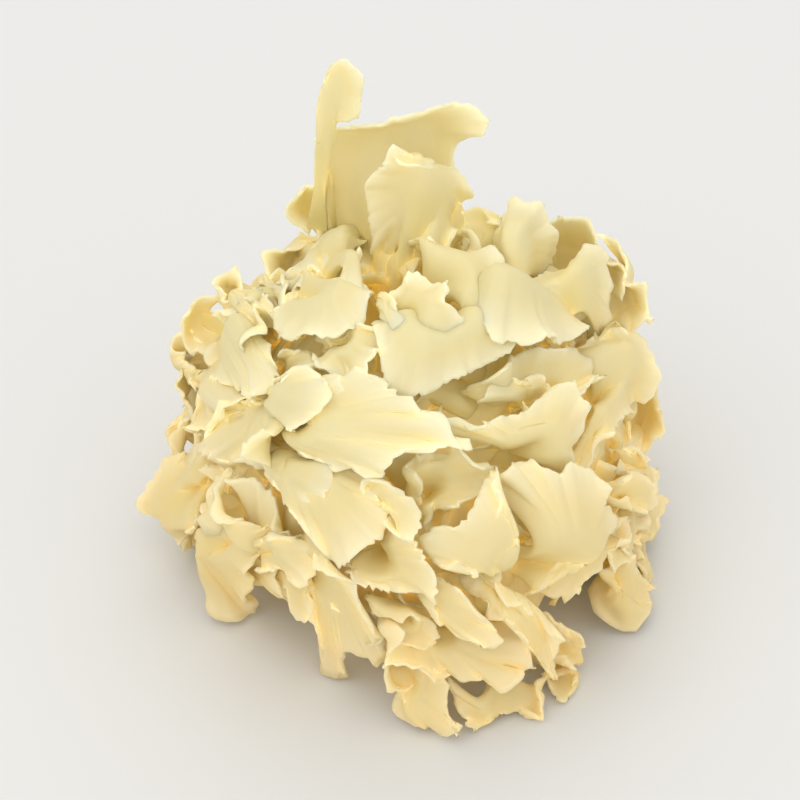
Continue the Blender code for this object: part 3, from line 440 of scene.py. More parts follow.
# %% [markdown]
# A smooth sheet has to pass through the net. Subdivision would make it smooth, but shrinks it away from
# its cage. So the sheet is drawn with a kind of curve that goes through every point it is given, first
# along the margin and then from the fork outwards. The columns are then spaced evenly along the margin,
# so that the ruffles get the same detail everywhere. Last, every row is averaged along its length: a
# little at the margin, which takes the hard points off the tips, and more towards the root, so that the
# sheet is calm where it is thick.

# %% Draw a fine sheet through the net
READINGS_PER_NOTE = 24
FEWEST_COLUMNS = 12
TIP_ROUNDING = 1.7 * MM
CALM_WIDTH = 0.13
CALM_FADE = 2.4
CALM_SIDES = 6


def smooth_line(rows, places):
    """The smooth curve through the rows, read at places between 0 and the last row's number."""
    held = np.concatenate([[2 * rows[0] - rows[1]], rows, [2 * rows[-1] - rows[-2]]])
    start = np.minimum(places.astype(int), len(rows) - 2)
    share = (places - start).reshape(-1, *[1] * (rows.ndim - 1))
    a, b, c, d = (held[start + step] for step in range(4))
    bend = (2 * a - 5 * b + 4 * c - d) * share**2
    twist = (3 * b - a - 3 * c + d) * share**3
    return 0.5 * (2 * b + (c - a) * share + bend + twist)


def averaged_across(grid, width):
    """The grid with every row smoothed over a width, which is a share of the whole row."""
    places = np.linspace(0, 1, grid.shape[1])
    weights = np.exp(-0.5 * ((places[:, None] - places[None, :]) / width) ** 2)
    return np.einsum("ij,rjk->rik", weights / weights.sum(1, keepdims=True), grid)


def calmed(grid, face):
    """The sheet with rounded tips, and with the folds along its margin dying away towards its root."""
    rounded = averaged_across(grid, TIP_ROUNDING / lengths_along(grid[-1])[-1])
    calm = averaged_across(grid, CALM_WIDTH)
    from_middle = np.abs(np.linspace(-1, 1, grid.shape[1]))
    kept = np.maximum(face[:, None] ** CALM_FADE, from_middle[None, :] ** CALM_SIDES)
    return calm + (rounded - calm) * kept[..., None]


def fine_sheet(net, spacing, rows_between):
    """A fine grid of points through the net, and how far out each row is, up to 1 at the margin."""
    columns = net.transpose(1, 0, 2)
    readings = np.linspace(0, len(columns) - 1, READINGS_PER_NOTE * len(columns))
    dense = smooth_line(columns, readings)
    along = lengths_along(dense[:, -1])
    count = max(int(along[-1] / spacing), FEWEST_COLUMNS)
    wanted = np.interp(np.linspace(0, along[-1], count), along, np.arange(len(along)))
    before = np.minimum(wanted.astype(int), len(dense) - 2)
    share = (wanted - before)[:, None, None]
    even = dense[before] * (1 - share) + dense[before + 1] * share
    places = np.concatenate([
        number + np.arange(rows) / rows for number, rows in enumerate(rows_between)
    ] + [[len(rows_between)]])
    grid = smooth_line(even.transpose(1, 0, 2), places)
    face = np.clip((places - 1) / 2, 0, 1)
    return calmed(grid, face), face


print("a sheet of", fine_sheet(nets["crown_branch"]["tall_blade"], MM, (3, 7, 12))[0].shape, "points")

# %% [markdown]
# Nothing on the real mushroom swings evenly. A swing that looks grown is made here of a few sine waves
# with seeded random directions and lengths. The noise functions that come with Blender would do it as
# well, one point at a time, but a sum of sines is worked out for all points at once.

# %% Make a soft random swing
LENGTHS_SPREAD = (0.7, 1.4)


def soft_noise(points, wavelength, random, waves=7):
    """A smooth random swing, mostly between -1 and 1, at each of the points."""
    total = 0
    for _ in range(waves):
        direction = unit(random.normal(size=points.shape[-1]))
        length = wavelength * random.uniform(*LENGTHS_SPREAD)
        total = total + np.sin(TAU * (points @ direction) / length + random.uniform(0, TAU))
    return total / math.sqrt(waves)


trial = np.random.default_rng(1)
print("soft noise spans", np.ptp(soft_noise(trial.random((500, 3)), 0.3, trial)).round(2))

# %% [markdown]
# The real sheets are never plain. Broad folds and low creases run through them in every direction.
# Closer to the margin come ruffles, then fine crinkles, a lip that rolls over here and back there, and
# at last the torn teeth of the edge itself. Most lips roll outwards, and their pale edges catch the
# light. A cloth simulation could grow such margins too, but it is slow and hard to steer. Here each kind
# of swing is added in turn, and each fades in at its own distance from the root.

# %% Fold, ruffle and tear a sheet
# The length and the height of each swing, and the power by which it fades in towards the margin
FOLD = (28 * MM, 2.8 * MM, 1)
CREASE = (16 * MM, 0.5 * MM, 2)
RUFFLE = (10 * MM, 1.3 * MM, 4)
CRINKLE = (5 * MM, 0.6 * MM, 9)
CURL_LENGTH, CURL_HEIGHT, CURL_START = 26 * MM, 3.2 * MM, 0.5
CURL_OUTWARDS = 0.7
LONG_MARGIN, LEAST_SWING = 70 * MM, 0.45
TOOTH_LENGTH, TOOTH_HEIGHT, TOOTH_POWER = 3.2 * MM, 0.7 * MM, 8
TORN_MIDDLE, TORN_LEAST, TORN_MOST = 0.6, 0.15, 1.4
SMALL_TOOTH_SHARE = 0.5
LIP_TURNED_BACK = 0.35


def normals_of(grid):
    """The direction square to the sheet at each of its points."""
    down, across = np.gradient(grid, axis=0), np.gradient(grid, axis=1)
    return unit(np.cross(down, across))


def ruffled(grid, face, amount, random):
    """The sheet with its folds, ruffles, curled lips and torn margin."""
    face = face[:, None]
    normal = normals_of(grid)
    outside = np.sign((normal * (grid - HUB)).sum())
    along = lengths_along(grid[-1])[:, None]
    swing = 0
    for at, (length, height, power) in (
            (grid, FOLD), (grid, CREASE), (along, RUFFLE), (along, CRINKLE)):
        swing = swing + soft_noise(at, length, random) * height * face**power
    lip = np.clip((face - CURL_START) / (1 - CURL_START), 0, 1) ** 2
    curl = (soft_noise(along, CURL_LENGTH, random) + CURL_OUTWARDS) * lip
    amount = amount * np.clip(along[-1] / LONG_MARGIN, LEAST_SWING, 1)
    swing = amount * (swing + curl * CURL_HEIGHT)
    outward = unit(grid[-1] - grid[-4])
    torn = np.clip(soft_noise(along, 4 * TOOTH_LENGTH, random) + TORN_MIDDLE, TORN_LEAST, TORN_MOST)
    teeth = soft_noise(along, TOOTH_LENGTH, random)
    teeth = teeth + SMALL_TOOTH_SHARE * soft_noise(along, TOOTH_LENGTH / 2, random)
    edge = teeth * torn * TOOTH_HEIGHT * amount - np.abs(curl[-1]) * LIP_TURNED_BACK * CURL_HEIGHT
    edge = outward[None] * (edge * face**TOOTH_POWER)[..., None]
    return grid + normal * outside * swing[..., None] + edge


blade, blade_face = fine_sheet(nets["crown_branch"]["tall_blade"], MM, (3, 7, 12))
moved = ruffled(blade, blade_face, 1, np.random.default_rng(2)) - blade
print("the most that a point moves, in metres:", np.linalg.norm(moved, axis=-1).max().round(4))

# %% [markdown]
# A frond is a few millimetres thick at its root and thins out to its margin, where it ends in a
# rounded lip. The Solidify modifier gives one thickness all over unless a vertex group guides it. Here
# both skins are drawn directly, by stepping away from the sheet along its normals, with a thickness
# that falls from row to row.

# %% Give a sheet its flesh
NECK_THICKNESS = 3.8 * MM
MARGIN_THICKNESS = 0.9 * MM
THINS_OUT = 0.6
LIP_SHARE = 0.05
LIP_ROUNDING = 0.8
SIDE_COLUMNS = 3


def grid_faces(rows, columns):
    """The faces of a grid of points that are numbered row by row."""
    corner = (np.arange(rows - 1)[:, None] * columns + np.arange(columns - 1)).ravel()
    return np.stack([corner, corner + columns, corner + columns + 1, corner + 1], 1)


class Flesh:
    """Collects the closed skins of one piece, with how far out each point is on its frond."""

    def __init__(self):
        self.points, self.faces, self.outness, self.count = [], [], [], 0

    def add(self, points, faces, outness):
        """Add points and faces. The faces count from the first of these points."""
        self.points.append(points)
        self.faces.append(faces + self.count)
        self.outness.append(outness)
        self.count += len(points)

    def add_sheet(self, grid, face):
        """Add both skins of a sheet and the rim that closes them."""
        rows, columns, _ = grid.shape
        thin = NECK_THICKNESS + (MARGIN_THICKNESS - NECK_THICKNESS) * face**THINS_OUT
        lip = np.clip((face - 1 + LIP_SHARE) / LIP_SHARE, 0, 1)
        from_side = np.minimum(np.arange(columns), np.arange(columns)[::-1])
        side = np.clip(1 - from_side / SIDE_COLUMNS, 0, 1)
        rounded = np.sqrt(1 - LIP_ROUNDING * np.maximum(lip[:, None], side) ** 2)
        half = (0.5 * thin[:, None] * rounded)[..., None]
        normal = normals_of(grid)
        skins = [(grid + normal * sign * half).reshape(-1, 3) for sign in (1, -1)]
        upper = grid_faces(rows, columns)
        rim = np.concatenate([
            np.arange(columns), np.arange(1, rows) * columns + columns - 1,
            (rows - 1) * columns + np.arange(columns - 2, -1, -1), np.arange(rows - 2, 0, -1) * columns,
        ])
        size = rows * columns
        following = np.roll(rim, -1)
        closing = np.stack([rim, following, following + size, rim + size], 1)
        faces = np.concatenate([upper, upper[:, ::-1] + size, closing])
        outness = np.tile(np.repeat(face, columns), 2)
        self.add(np.concatenate(skins), faces, outness)


print("thickness at the root and the margin:", NECK_THICKNESS, round(MARGIN_THICKNESS, 4))

# %% [markdown]
# Behind the fronds that a viewer can name there are many more, and they are what makes the mushroom
# look full: no light comes through it and no floor shows between its fronds. Their middles are spread
# over the mound by the golden angle, the rule that also spaces the seeds of a sunflower. Random places
# would crowd here and leave gaps there. Each frond rises from a lower and deeper root to a margin that
# leans out. The outer ones have the same places as in the plain solids, and a second, deeper layer
# closes the gaps between them.

# %% Place a filling frond
GOLDEN_ANGLE = math.pi * (3 - math.sqrt(5))
# Fronds in the layer, lowest and highest, share of the mound, how much deeper in front, width, length
OUTER_LAYER = (24, 0.12, 0.95, 0.97, 0.14, 48 * MM, 22 * MM)
INNER_LAYER = (140, 0.2, 0.95, 0.88, 0.03, 34 * MM, 17 * MM)
FRONT_STARTS = -0.2
FRONT_SOFTNESS = 0.5
FILLING_DEEPER_LOW_DOWN = 0.14
FILLING_LOW_DOWN = 0.35
FILLING_DROOP = 1.5
FILLING_DEPTH = 16 * MM
FILLING_SWING = 5 * MM
FILLING_WAVES = 1.3
FILLING_LEAN = 3 * MM
FILLING_TILT = 0.7
FILLING_TILT_STEP = 2.3
FILLING_POINTS = 9


def filling_frond(number, layer):
    """The direction of a filling frond from the middle, its root, its margin and that at rest."""
    count, lowest, highest, layer_share, deeper_in_front, width, length = layer
    height = lowest + (highest - lowest) * (number + 0.5) / count
    around = number * GOLDEN_ANGLE
    level_share = math.sqrt(1 - height**2)
    direction = np.array([math.cos(around) * level_share, math.sin(around) * level_share, height])
    in_front = np.clip((direction @ TOWARDS_VIEWER - FRONT_STARTS) / FRONT_SOFTNESS, 0, 1)
    low_down = max(1 - height / FILLING_LOW_DOWN, 0)
    share = layer_share - deeper_in_front * in_front - FILLING_DEEPER_LOW_DOWN * low_down
    centre = MOUND * direction * share
    out = unit(direction / MOUND)
    level = unit(np.cross([0, 0, 1], out))
    tilt = FILLING_TILT * math.sin(FILLING_TILT_STEP * number)
    across = level * math.cos(tilt) + np.cross(out, level) * math.sin(tilt)
    up = np.cross(out, across)
    place = np.linspace(-0.5, 0.5, FILLING_POINTS)[:, None]
    rise = length * (0.5 - FILLING_DROOP * place**2)
    swing = FILLING_LEAN + FILLING_SWING * np.sin(TAU * FILLING_WAVES * place + number)
    resting = centre + across * width * place + up * rise
    margin = resting + out * swing
    root = centre - out * FILLING_DEPTH - up * length
    return direction, above_ground(root), above_ground(margin), above_ground(resting)


print("the first one heads for", filling_frond(0, OUTER_LAYER)[0].round(2))

# %% [markdown]
# Every filling frond has to grow from some branch. It could go to the nearest fork, but what counts is
# the way it grows, so it is given to the branch whose fronds head most nearly the same way. In front
# the outer layer is left out, since the notes cover it. Low down in front there is no filling at all, so
# that the noted fronds there stand on their own legs, with an open arch between them.

# %% Share the filling out among the branches
FRONT_IS_NOTED = 0.25
OPEN_BELOW = 0.36
OPEN_IN_FRONT = -0.25
FILLING_FORK_SHARE = 0.45


def heading_of(fronds):
    """The direction from the hub to the middle of the margins."""
    margins = np.concatenate([net[-1] for net in fronds.values()])
    return unit(margins.mean(0) - HUB)


headings = np.array([heading_of(nets[name]) for name in every_branch])
filling = {name: [] for name in every_branch}
for layer in (OUTER_LAYER, INNER_LAYER):
    for number in range(layer[0]):
        direction, root, margin, resting = filling_frond(number, layer)
        if layer is OUTER_LAYER and direction @ TOWARDS_VIEWER > FRONT_IS_NOTED:
            continue
        if direction[2] < OPEN_BELOW and direction[1] < OPEN_IN_FRONT:
            continue
        fork = HUB + (root - HUB) * FILLING_FORK_SHARE
        net = frond_net(fork, root, margin, resting)
        filling[every_branch[int((headings @ direction).argmax())]].append(net)
print({name: len(fronds) for name, fronds in filling.items()})

# %% [markdown]
# A branch starts with a stalk, a tube with low ribs that widens from the foot to the fork. A curve with
# a bevel makes tubes too, but this one also has to stay inside the mound, so that its fronds cover it.
# It is a grid of rings, and every point outside a smaller mound is drawn in to that.

# %% Draw a stalk
STALK_RADIUS_AT_FOOT = 9 * MM
STALK_RADIUS_AT_FORK = 17 * MM
STALK_SHARE_OF_MOUND = 0.72
STALK_SIDES = 28
STALK_ROWS = 16
# How high the ribs are as a share of the radius, how many there are, and how far they twist
STALK_RIBS = (0.12, 3, 2)
STALK_REFERENCE = (0.3, 0.2, 0.9)
STALK_TIP, STALK_BLUNTNESS = 1.001, 8


def stalk(fork):
    """The grid of a stalk from the hub to just past its fork, drawn in so that fronds cover it."""
    axis = unit(fork - HUB)
    side = unit(np.cross(axis, STALK_REFERENCE))
    other = np.cross(axis, side)
    rows = np.linspace(0, 1, STALK_ROWS)[:, None, None]
    turn = np.linspace(0, TAU, STALK_SIDES)[None, :, None]
    radius = STALK_RADIUS_AT_FOOT + (STALK_RADIUS_AT_FORK - STALK_RADIUS_AT_FOOT) * rows
    rib_height, ribs, rib_twist = STALK_RIBS
    uneven = 1 + rib_height * np.sin(ribs * turn + rib_twist * rows)
    radius = radius * np.sqrt(np.maximum(STALK_TIP - rows**STALK_BLUNTNESS, 0)) * uneven
    reach = (np.linalg.norm(fork - HUB) + STALK_RADIUS_AT_FORK) * rows
    grid = HUB + axis * reach + radius * (side * np.cos(turn) + other * np.sin(turn))
    share = np.linalg.norm(grid / MOUND, axis=-1, keepdims=True)
    return above_ground(grid * np.minimum(STALK_SHARE_OF_MOUND / share, 1))


def add_stalk(flesh, fork):
    """Add the skin of a stalk."""
    grid = stalk(fork)
    rows, columns, _ = grid.shape
    turned_over = grid_faces(rows, columns)[:, [0, 3, 2, 1]]
    flesh.add(grid.reshape(-1, 3), turned_over, np.zeros(rows * columns))


print("a stalk of", stalk(stand(BRANCHES["crown_branch"][0])[0]).shape, "points")

# %% [markdown]
# The points and faces of a branch become one mesh, because on the real mushroom it is one piece of
# flesh. The foreach_set calls fill it in one go, which is far quicker than adding vertices one by one
# with bmesh. Each point also keeps two attributes for its colour: how far out on its frond it is, and
# how deep in the mound.

# %% Turn flesh into a mesh
SURFACE_SHARE = 1.02
DEEP_SHARE = 0.78
UNDERSIDE = 15 * MM


def add_object(name, data):
    """A new object in the scene."""
    thing = bpy.data.objects.new(name, data)
    bpy.context.scene.collection.objects.link(thing)
    return thing


def mesh_object(name, flesh):
    """A mesh object of the flesh, with how far out and how deep each point is as attributes."""
    points, faces = np.concatenate(flesh.points), np.concatenate(flesh.faces)
    mesh = bpy.data.meshes.new(name)
    mesh.vertices.add(len(points))
    mesh.vertices.foreach_set("co", points.astype(np.float32).ravel())
    mesh.loops.add(faces.size)
    mesh.loops.foreach_set("vertex_index", faces.astype(np.int32).ravel())
    mesh.polygons.add(len(faces))
    mesh.polygons.foreach_set("loop_start", np.arange(0, faces.size, 4, dtype=np.int32))
    mesh.polygons.foreach_set("use_smooth", np.ones(len(faces), bool))
    mesh.update(calc_edges=True)
    share = np.linalg.norm(points / MOUND, axis=1)
    # The depth places the painted golden shade of the crevices and the painted glow. It fades out low
    # down, so that the underside takes neither.
    depth = np.clip((SURFACE_SHARE - share) / (SURFACE_SHARE - DEEP_SHARE), 0, 1)
    depth = depth * np.clip((points[:, 2] - UNDERSIDE) / UNDERSIDE, 0, 1)
    for kind, values in (("outness", np.concatenate(flesh.outness)), ("depth", depth)):
        attribute = mesh.attributes.new(kind, "FLOAT", "POINT")
        attribute.data.foreach_set("value", values.astype(np.float32))
    return add_object(name, mesh)


print("depth runs from", SURFACE_SHARE, "to", DEEP_SHARE, "of the way out")

# %% [markdown]
# Now every branch is built from its stalk, its noted fronds and its filling. The noted fronds in front
# have the finest mesh, their turned copies a coarser one, and the filling the coarsest. One detail for
# all would be simpler, but this way the triangles are where they are seen.

# %% Build the branches
# The spacing along a margin, and the rows of mesh between the rows of the net
NOTED_DETAIL = (0.9 * MM, (2, 6, 11))
TURNED_DETAIL = (1.6 * MM, (2, 4, 8))
FILLING_DETAIL = (1.8 * MM, (2, 3, 6))
FILLING_AMOUNT = 1.2


def branch_piece(name, number):
    """The mesh of a branch: its stalk, its noted fronds and its filling."""
    flesh = Flesh()
    like, degrees, size = TURNED_BRANCHES.get(name, (name, 0, 1))
    own_detail = TURNED_DETAIL if degrees else NOTED_DETAIL
    fork = turned_about_middle(stand(BRANCHES[like][0]), degrees, size)[0]
    random = np.random.default_rng(number)
    add_stalk(flesh, fork)
    sheets = [(net, own_detail, CALM_FRONDS.get(frond, 1)) for frond, net in nets[name].items()]
    sheets += [(net, FILLING_DETAIL, FILLING_AMOUNT) for net in filling[name]]
    for net, detail, amount in sheets:
        grid, face = fine_sheet(net, *detail)
        flesh.add_sheet(above_ground(ruffled(grid, face, amount, random)), face)
    return mesh_object(name + "_fronds", flesh)


pieces = {name: branch_piece(name, number) for number, name in enumerate(every_branch)}
sizes = {name: 2 * len(piece.data.polygons) for name, piece in pieces.items()}
print(sizes)
print("triangles in all:", sum(sizes.values()))

# %% [markdown]
# The foot is the thick stem that holds everything together. Its sides are ribbed where the branches
# run down into it, and it is cut off flat below, which is the face that the mushroom stands on. It is
# a turned shape, and the Screw modifier would turn its profile of radius and height, but without swells
# and ribs. So its rings are worked out from that profile here.

# %% Build the foot
# Radius and height in millimetres, from the top down to the cut
FOOT_PROFILE = [(0, 44), (12, 43), (19, 38), (22.5, 30), (23, 20), (25, 9), (27, 3), (26.5, 0), (0, 0)]
# How many swells go round the foot, how high they are as a share, and where they start
FOOT_SWELLS = [(2, 0.06, 0.6), (5, 0.03, 0)]
FOOT_SIDES = 96
FOOT_RIB_HEIGHT, FOOT_RIB_WIDTH = 0.5 * MM, 7 * MM
FOOT_GIRTH_RADIUS = 27 * MM
FOOT_RIBS_FADE = (6 * MM, 15 * MM)
FOOT_ROWS_BETWEEN = 6
FOOT_INNERMOST = 0.05 * MM
FOOT_SEED = 7


def foot_grid():
    """Rings of points from the foot's round top down to the middle of its cut face."""
    profile = np.array(FOOT_PROFILE, float) * MM
    last = len(profile) - 3
    side = smooth_line(profile[:-2], np.linspace(0, last, FOOT_ROWS_BETWEEN * last))
    side[:, 0] = np.maximum(side[:, 0], FOOT_INNERMOST)
    cut = np.linspace(profile[-2], [FOOT_INNERMOST, 0], FOOT_ROWS_BETWEEN)
    rings = np.concatenate([side, cut])
    turn = np.linspace(0, TAU, FOOT_SIDES, endpoint=False)
    uneven = 1 + sum(share * np.sin(count * turn + start) for count, share, start in FOOT_SWELLS)
    radius = rings[:, :1] * uneven[None, :]
    random = np.random.default_rng(FOOT_SEED)
    ribs = soft_noise(turn[:, None] * FOOT_GIRTH_RADIUS, FOOT_RIB_WIDTH, random)
    low, inner = FOOT_RIBS_FADE
    fade = np.clip(rings[:, 1:] / low, 0, 1) * np.clip(rings[:, :1] / inner, 0, 1)
    radius = radius - FOOT_RIB_HEIGHT * np.abs(ribs)[None, :] * fade
    x, y = HUB[0] + radius * np.cos(turn), HUB[1] + radius * np.sin(turn)
    return np.stack([x, y, np.broadcast_to(rings[:, 1:], radius.shape)], -1)


def foot_piece():
    """The mesh of the foot."""
    grid = foot_grid()
    rings, sides, _ = grid.shape
    ring, place = np.meshgrid(np.arange(rings - 1), np.arange(sides), indexing="ij")
    a, b = ring * sides + place, ring * sides + (place + 1) % sides
    faces = np.stack([a, a + sides, b + sides, b], -1).reshape(-1, 4)
    flesh = Flesh()
    flesh.add(grid.reshape(-1, 3), faces, np.zeros(rings * sides))
    return mesh_object("foot_flesh", flesh)


foot = foot_piece()
print("foot:", 2 * len(foot.data.polygons), "triangles")

# %% [markdown]
# A material is a tree of nodes. Each node and each wire could have a line or two of its own, but then a
# material would be pages long. These three functions make a node, set its inputs and join nodes, so that
# a tree reads as a list of what goes where.

# %% Shorten the work with nodes
def set_inputs(node, values):
    """Set the inputs of a node by their names."""
    for name, value in values.items():
        node.inputs[name].default_value = value


def new_node(tree, kind, values=None, **settings):
    """A new node of a kind, with its settings and with the values of some of its inputs."""
    node = tree.nodes.new("ShaderNode" + kind)
    for name, setting in settings.items():
        setattr(node, name, setting)
    set_inputs(node, values or {})
    return node


def join(tree, wires):
    """Join nodes. A wire is a node, its output, another node and its input."""
    for source, output, target, socket in wires:
        tree.links.new(source.outputs[output], target.inputs[socket])


print("helpers:", set_inputs.__name__, new_node.__name__, join.__name__)

# %% [markdown]
# The flesh is waxy and a little see-through. Light goes in and comes out again nearby, warmer than
# before, which is why the crevices glow golden while the outer fronds stay pale cream. Subsurface
# scattering does that, with red reaching furthest. The method chosen here blurs the light over the
# surface. The random walk method is more exact in a solid lump, but it draws grey lines where thin
# sheets cross. A node group works out the colour. It goes from a golden root, which is painted shade,
# to a pale margin, which is painted light on the thin edges, by how far out on its frond a point is.
# It adds soft patches, so that no two fronds are quite alike, and paints golden shade again deep in
# the mound, where the crevices are. Low fronds get a warmer, darker painted shade than high ones. A
# faint painted glow in the depth stands for the light that has come through many fronds. Both
# materials could hold the same nodes twice, but a group is built once and takes the colours of each.

# %% Mix the flesh colour in a node group
# The heights over which the painted shade goes from that of low fronds to that of high ones
LOW_FRONDS = 15 * MM
HIGH_FRONDS = 100 * MM


def colour_group():
    """The node group that gives the colour of the flesh, with its painted shade, and its painted glow."""
    group = bpy.data.node_groups.new("flesh colour", "ShaderNodeTree")
    # The root, low and high colours paint shade, the margin colour paints light on thin edges, and the
    # last one is a painted glow
    colours = ("Root", "Face", "Margin", "Patch", "Low painted shade", "High painted shade", "Painted glow")
    for in_out, kind, names in (("INPUT", "Color", colours),
                                ("INPUT", "Float", ("Patch size", "Patch strength")),
                                ("OUTPUT", "Color", ("Color", "Painted glow"))):
        for name in names:
            group.interface.new_socket(name, in_out=in_out, socket_type="NodeSocket" + kind)
    given, result = group.nodes.new("NodeGroupInput"), group.nodes.new("NodeGroupOutput")
    outness = new_node(group, "Attribute", attribute_name="outness")
    depth = new_node(group, "Attribute", attribute_name="depth")
    place = new_node(group, "TexCoord")
    apart = new_node(group, "SeparateXYZ")
    to_face = new_node(group, "MapRange", {"From Max": 0.5})
    to_margin = new_node(group, "MapRange", {"From Min": 0.72})
    patches = new_node(group, "TexNoise", {"Detail": 3})
    spread = new_node(group, "MapRange", {"From Min": 0.42, "From Max": 0.68})
    amount = new_node(group, "Math", operation="MULTIPLY")
    height = new_node(group, "MapRange", {"From Min": LOW_FRONDS, "From Max": HIGH_FRONDS})
    face, margin, patched, painted_deep_shade, tint, painted_glow = (
        new_node(group, "Mix", data_type="RGBA") for _ in range(6))
    shaded_by_height = new_node(group, "Mix", {"Factor": 1}, data_type="RGBA", blend_type="MULTIPLY")
    painted_glow.inputs["A"].default_value = (0, 0, 0, 1)
    join(group, (
        (outness, "Fac", to_face, "Value"), (outness, "Fac", to_margin, "Value"),
        (place, "Object", patches, "Vector"), (given, "Patch size", patches, "Scale"),
        (patches, "Fac", spread, "Value"), (spread, "Result", amount, 0),
        (given, "Patch strength", amount, 1),
        # painted shade at the root and painted light on the thin margin, by how far out on its frond a
        # point is
        (to_face, "Result", face, "Factor"), (given, "Root", face, "A"), (given, "Face", face, "B"),
        (to_margin, "Result", margin, "Factor"), (face, "Result", margin, "A"),
        (given, "Margin", margin, "B"),
        (amount, "Value", patched, "Factor"), (margin, "Result", patched, "A"),
        (given, "Patch", patched, "B"),
        # painted shade: the golden root colour again deep in the mound, where the crevices lie in shade
        (depth, "Fac", painted_deep_shade, "Factor"), (patched, "Result", painted_deep_shade, "A"), (given, "Root", painted_deep_shade, "B"),
        # painted shade by height: low fronds warmer and darker, as less light falls on them from above
        (place, "Object", apart, "Vector"), (apart, "Z", height, "Value"),
        (height, "Result", tint, "Factor"), (given, "Low painted shade", tint, "A"),
        (given, "High painted shade", tint, "B"),
        (painted_deep_shade, "Result", shaded_by_height, "A"), (tint, "Result", shaded_by_height, "B"),
        (shaded_by_height, "Result", result, "Color"),
        # painted light: a faint glow deep in the mound, for the light that comes through many fronds
        (depth, "Fac", painted_glow, "Factor"), (given, "Painted glow", painted_glow, "B"), (painted_glow, "Result", result, "Painted glow"),
    ))
    return group


flesh_colour = colour_group()
print("group sockets:", [item.name for item in flesh_colour.interface.items_tree])

# %% [markdown]
# Up close the skin has a fine grain, so a Bump node reads a fine noise, and the same noise makes the
# skin a little glossier here and duller there. The bump stays low: the visible shape is all in the
# mesh. The foot has the same kind of flesh, drier and browner, so one function makes both materials.

# %% Make the two materials
def new_material(name):
    """A new material and its shader."""
    material = bpy.data.materials.new(name)
    material.use_nodes = True
    return material, material.node_tree.nodes["Principled BSDF"]


def flesh_material(name, colours, grain_size, roughness, scatter):
    """A waxy material. scatter is the share of the light that goes into the flesh and out again."""
    material, shader = new_material(name)
    tree = material.node_tree
    colour = tree.nodes.new("ShaderNodeGroup")
    colour.node_tree = flesh_colour
    set_inputs(colour, {socket: (*value, 1) for socket, value in colours.items()})
    set_inputs(colour, {"Patch size": 38, "Patch strength": 0.5})
    place = new_node(tree, "TexCoord")
    grain = new_node(tree, "TexNoise", {"Scale": grain_size, "Detail": 4})
    bump = new_node(tree, "Bump", {"Strength": 0.25, "Distance": 0.3 * MM})
    gloss = new_node(tree, "MapRange", {"To Min": roughness - 0.08, "To Max": roughness + 0.1})
    join(tree, (
        # the painted glow feeds the emission
        (colour, "Color", shader, "Base Color"), (colour, "Painted glow", shader, "Emission Color"),
        (place, "Object", grain, "Vector"), (grain, "Fac", bump, "Height"),
        (grain, "Fac", gloss, "Value"), (gloss, "Result", shader, "Roughness"),
        (bump, "Normal", shader, "Normal"),
    ))
    shader.subsurface_method = "BURLEY"
    set_inputs(shader, {
        "Emission Strength": 1, "Specular IOR Level": 0.38, "Subsurface Weight": scatter,
        "Subsurface Radius": (1.0, 0.85, 0.6), "Subsurface Scale": 4 * MM,
    })
    return material


# The root, low and high colours are painted shade, the margin colour is painted light on thin edges, and
# the last one is a painted glow
frond_flesh = flesh_material("frond flesh", {
    "Root": (0.95, 0.78, 0.32), "Face": (0.94, 0.81, 0.42), "Margin": (0.97, 0.91, 0.64),
    "Patch": (0.95, 0.86, 0.52), "Low painted shade": (0.96, 0.88, 0.76), "High painted shade": (0.97, 0.99, 1.0),
    "Painted glow": (0.09, 0.073, 0.024),
}, grain_size=420, roughness=0.5, scatter=0.7)
foot_flesh = flesh_material("foot flesh", {
    "Root": (0.8, 0.66, 0.36), "Face": (0.84, 0.72, 0.44), "Margin": (0.86, 0.76, 0.5),
    "Patch": (0.7, 0.53, 0.27), "Low painted shade": (1, 1, 1), "High painted shade": (1, 1, 1), "Painted glow": (0, 0, 0),
}, grain_size=260, roughness=0.6, scatter=0.3)
print("materials:", frond_flesh.name, foot_flesh.name)

# %% [markdown]
# Every branch of fronds takes the place of its plain solid, and rides on the one body of the frame. The
# solids could stay inside, but their sheets are thicker than the fronds and would show between them.

# %% Dress the frame
for name, piece in pieces.items():
    piece.data.materials.append(frond_flesh)
    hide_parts(name)
    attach(piece, "root")
foot.data.materials.append(foot_flesh)
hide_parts("foot")
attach(foot, "root")
print("dressed pieces:", len(pieces) + 1)

# %% [markdown]
# The stage is a plain pale floor under wide soft lights. Soft light suits thin pale flesh: hard light
# would draw a black line behind every frond.

# %% Set the floor and the lights
FLOOR_SIZE = 6.0
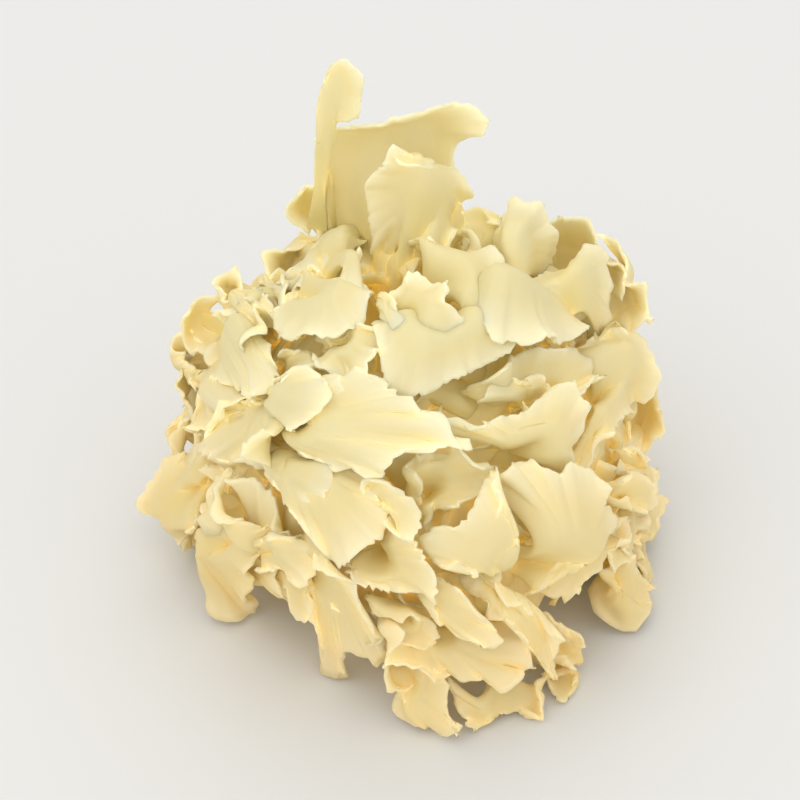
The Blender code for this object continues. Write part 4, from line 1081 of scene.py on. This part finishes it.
# The place of each light in metres, its power in watts and its size in metres
KEY_LIGHT = ((-0.6, -0.6, 1.5), 8.5, 1.8)
FILL_LIGHT = ((0.95, -0.8, 0.8), 3, 1.8)
BACK_LIGHT = ((0.1, 1.0, 1.1), 3.5, 1.4)

bpy.ops.mesh.primitive_plane_add(size=FLOOR_SIZE)
floor = bpy.context.object
floor.name = "pale_floor"
floor_paint, floor_shader = new_material("pale floor")
set_inputs(floor_shader, {"Base Color": (0.9, 0.9, 0.89, 1), "Roughness": 0.75})
floor.data.materials.append(floor_paint)

for place, power, size in (KEY_LIGHT, FILL_LIGHT, BACK_LIGHT):
    light = bpy.data.lights.new("soft light", "AREA")
    light.energy, light.size = power, size
    lamp = add_object("soft light", light)
    lamp.location = place
    lamp.rotation_euler = (Vector(SIGHTED_POINT) - Vector(place)).to_track_quat("-Z", "Y").to_euler()
world = bpy.data.worlds.new("pale room")
bpy.context.scene.world = world
world.use_nodes = True
set_inputs(world.node_tree.nodes["Background"], {"Color": (1, 0.99, 0.97, 1), "Strength": 0.62})
bpy.context.scene.view_settings.view_transform = "Standard"

# %% [markdown]
# The camera stands where the notes were taken from, so the outline of the mushroom can be compared
# with them directly. Turning the camera would bring the mushroom to the middle of the picture, but it
# would change that outline a little, so a small shift of the lens does it.

# %% Set the camera
SENSOR = 36
SEEN_WIDTH = 236 * MM
SHIFT_RIGHT, SHIFT_UP = -4 * MM, -1 * MM
camera = bpy.data.cameras.new("viewer")
camera.sensor_width = SENSOR
camera.lens = SENSOR * SIGHT_DISTANCE / SEEN_WIDTH
camera.shift_x, camera.shift_y = SHIFT_RIGHT / SEEN_WIDTH, SHIFT_UP / SEEN_WIDTH
camera.clip_start = 10 * MM
viewpoint = add_object("viewer", camera)
viewpoint.location = VIEWER
viewpoint.rotation_euler = Vector(TOWARDS_VIEWER).to_track_quat("Z", "Y").to_euler()
bpy.context.scene.camera = viewpoint
print("lens in millimetres:", round(camera.lens, 1))

# %% [markdown]
# Last, the scene is brought up to date, so that every piece stands where it was placed.

# %% Finish
bpy.context.view_layer.update()
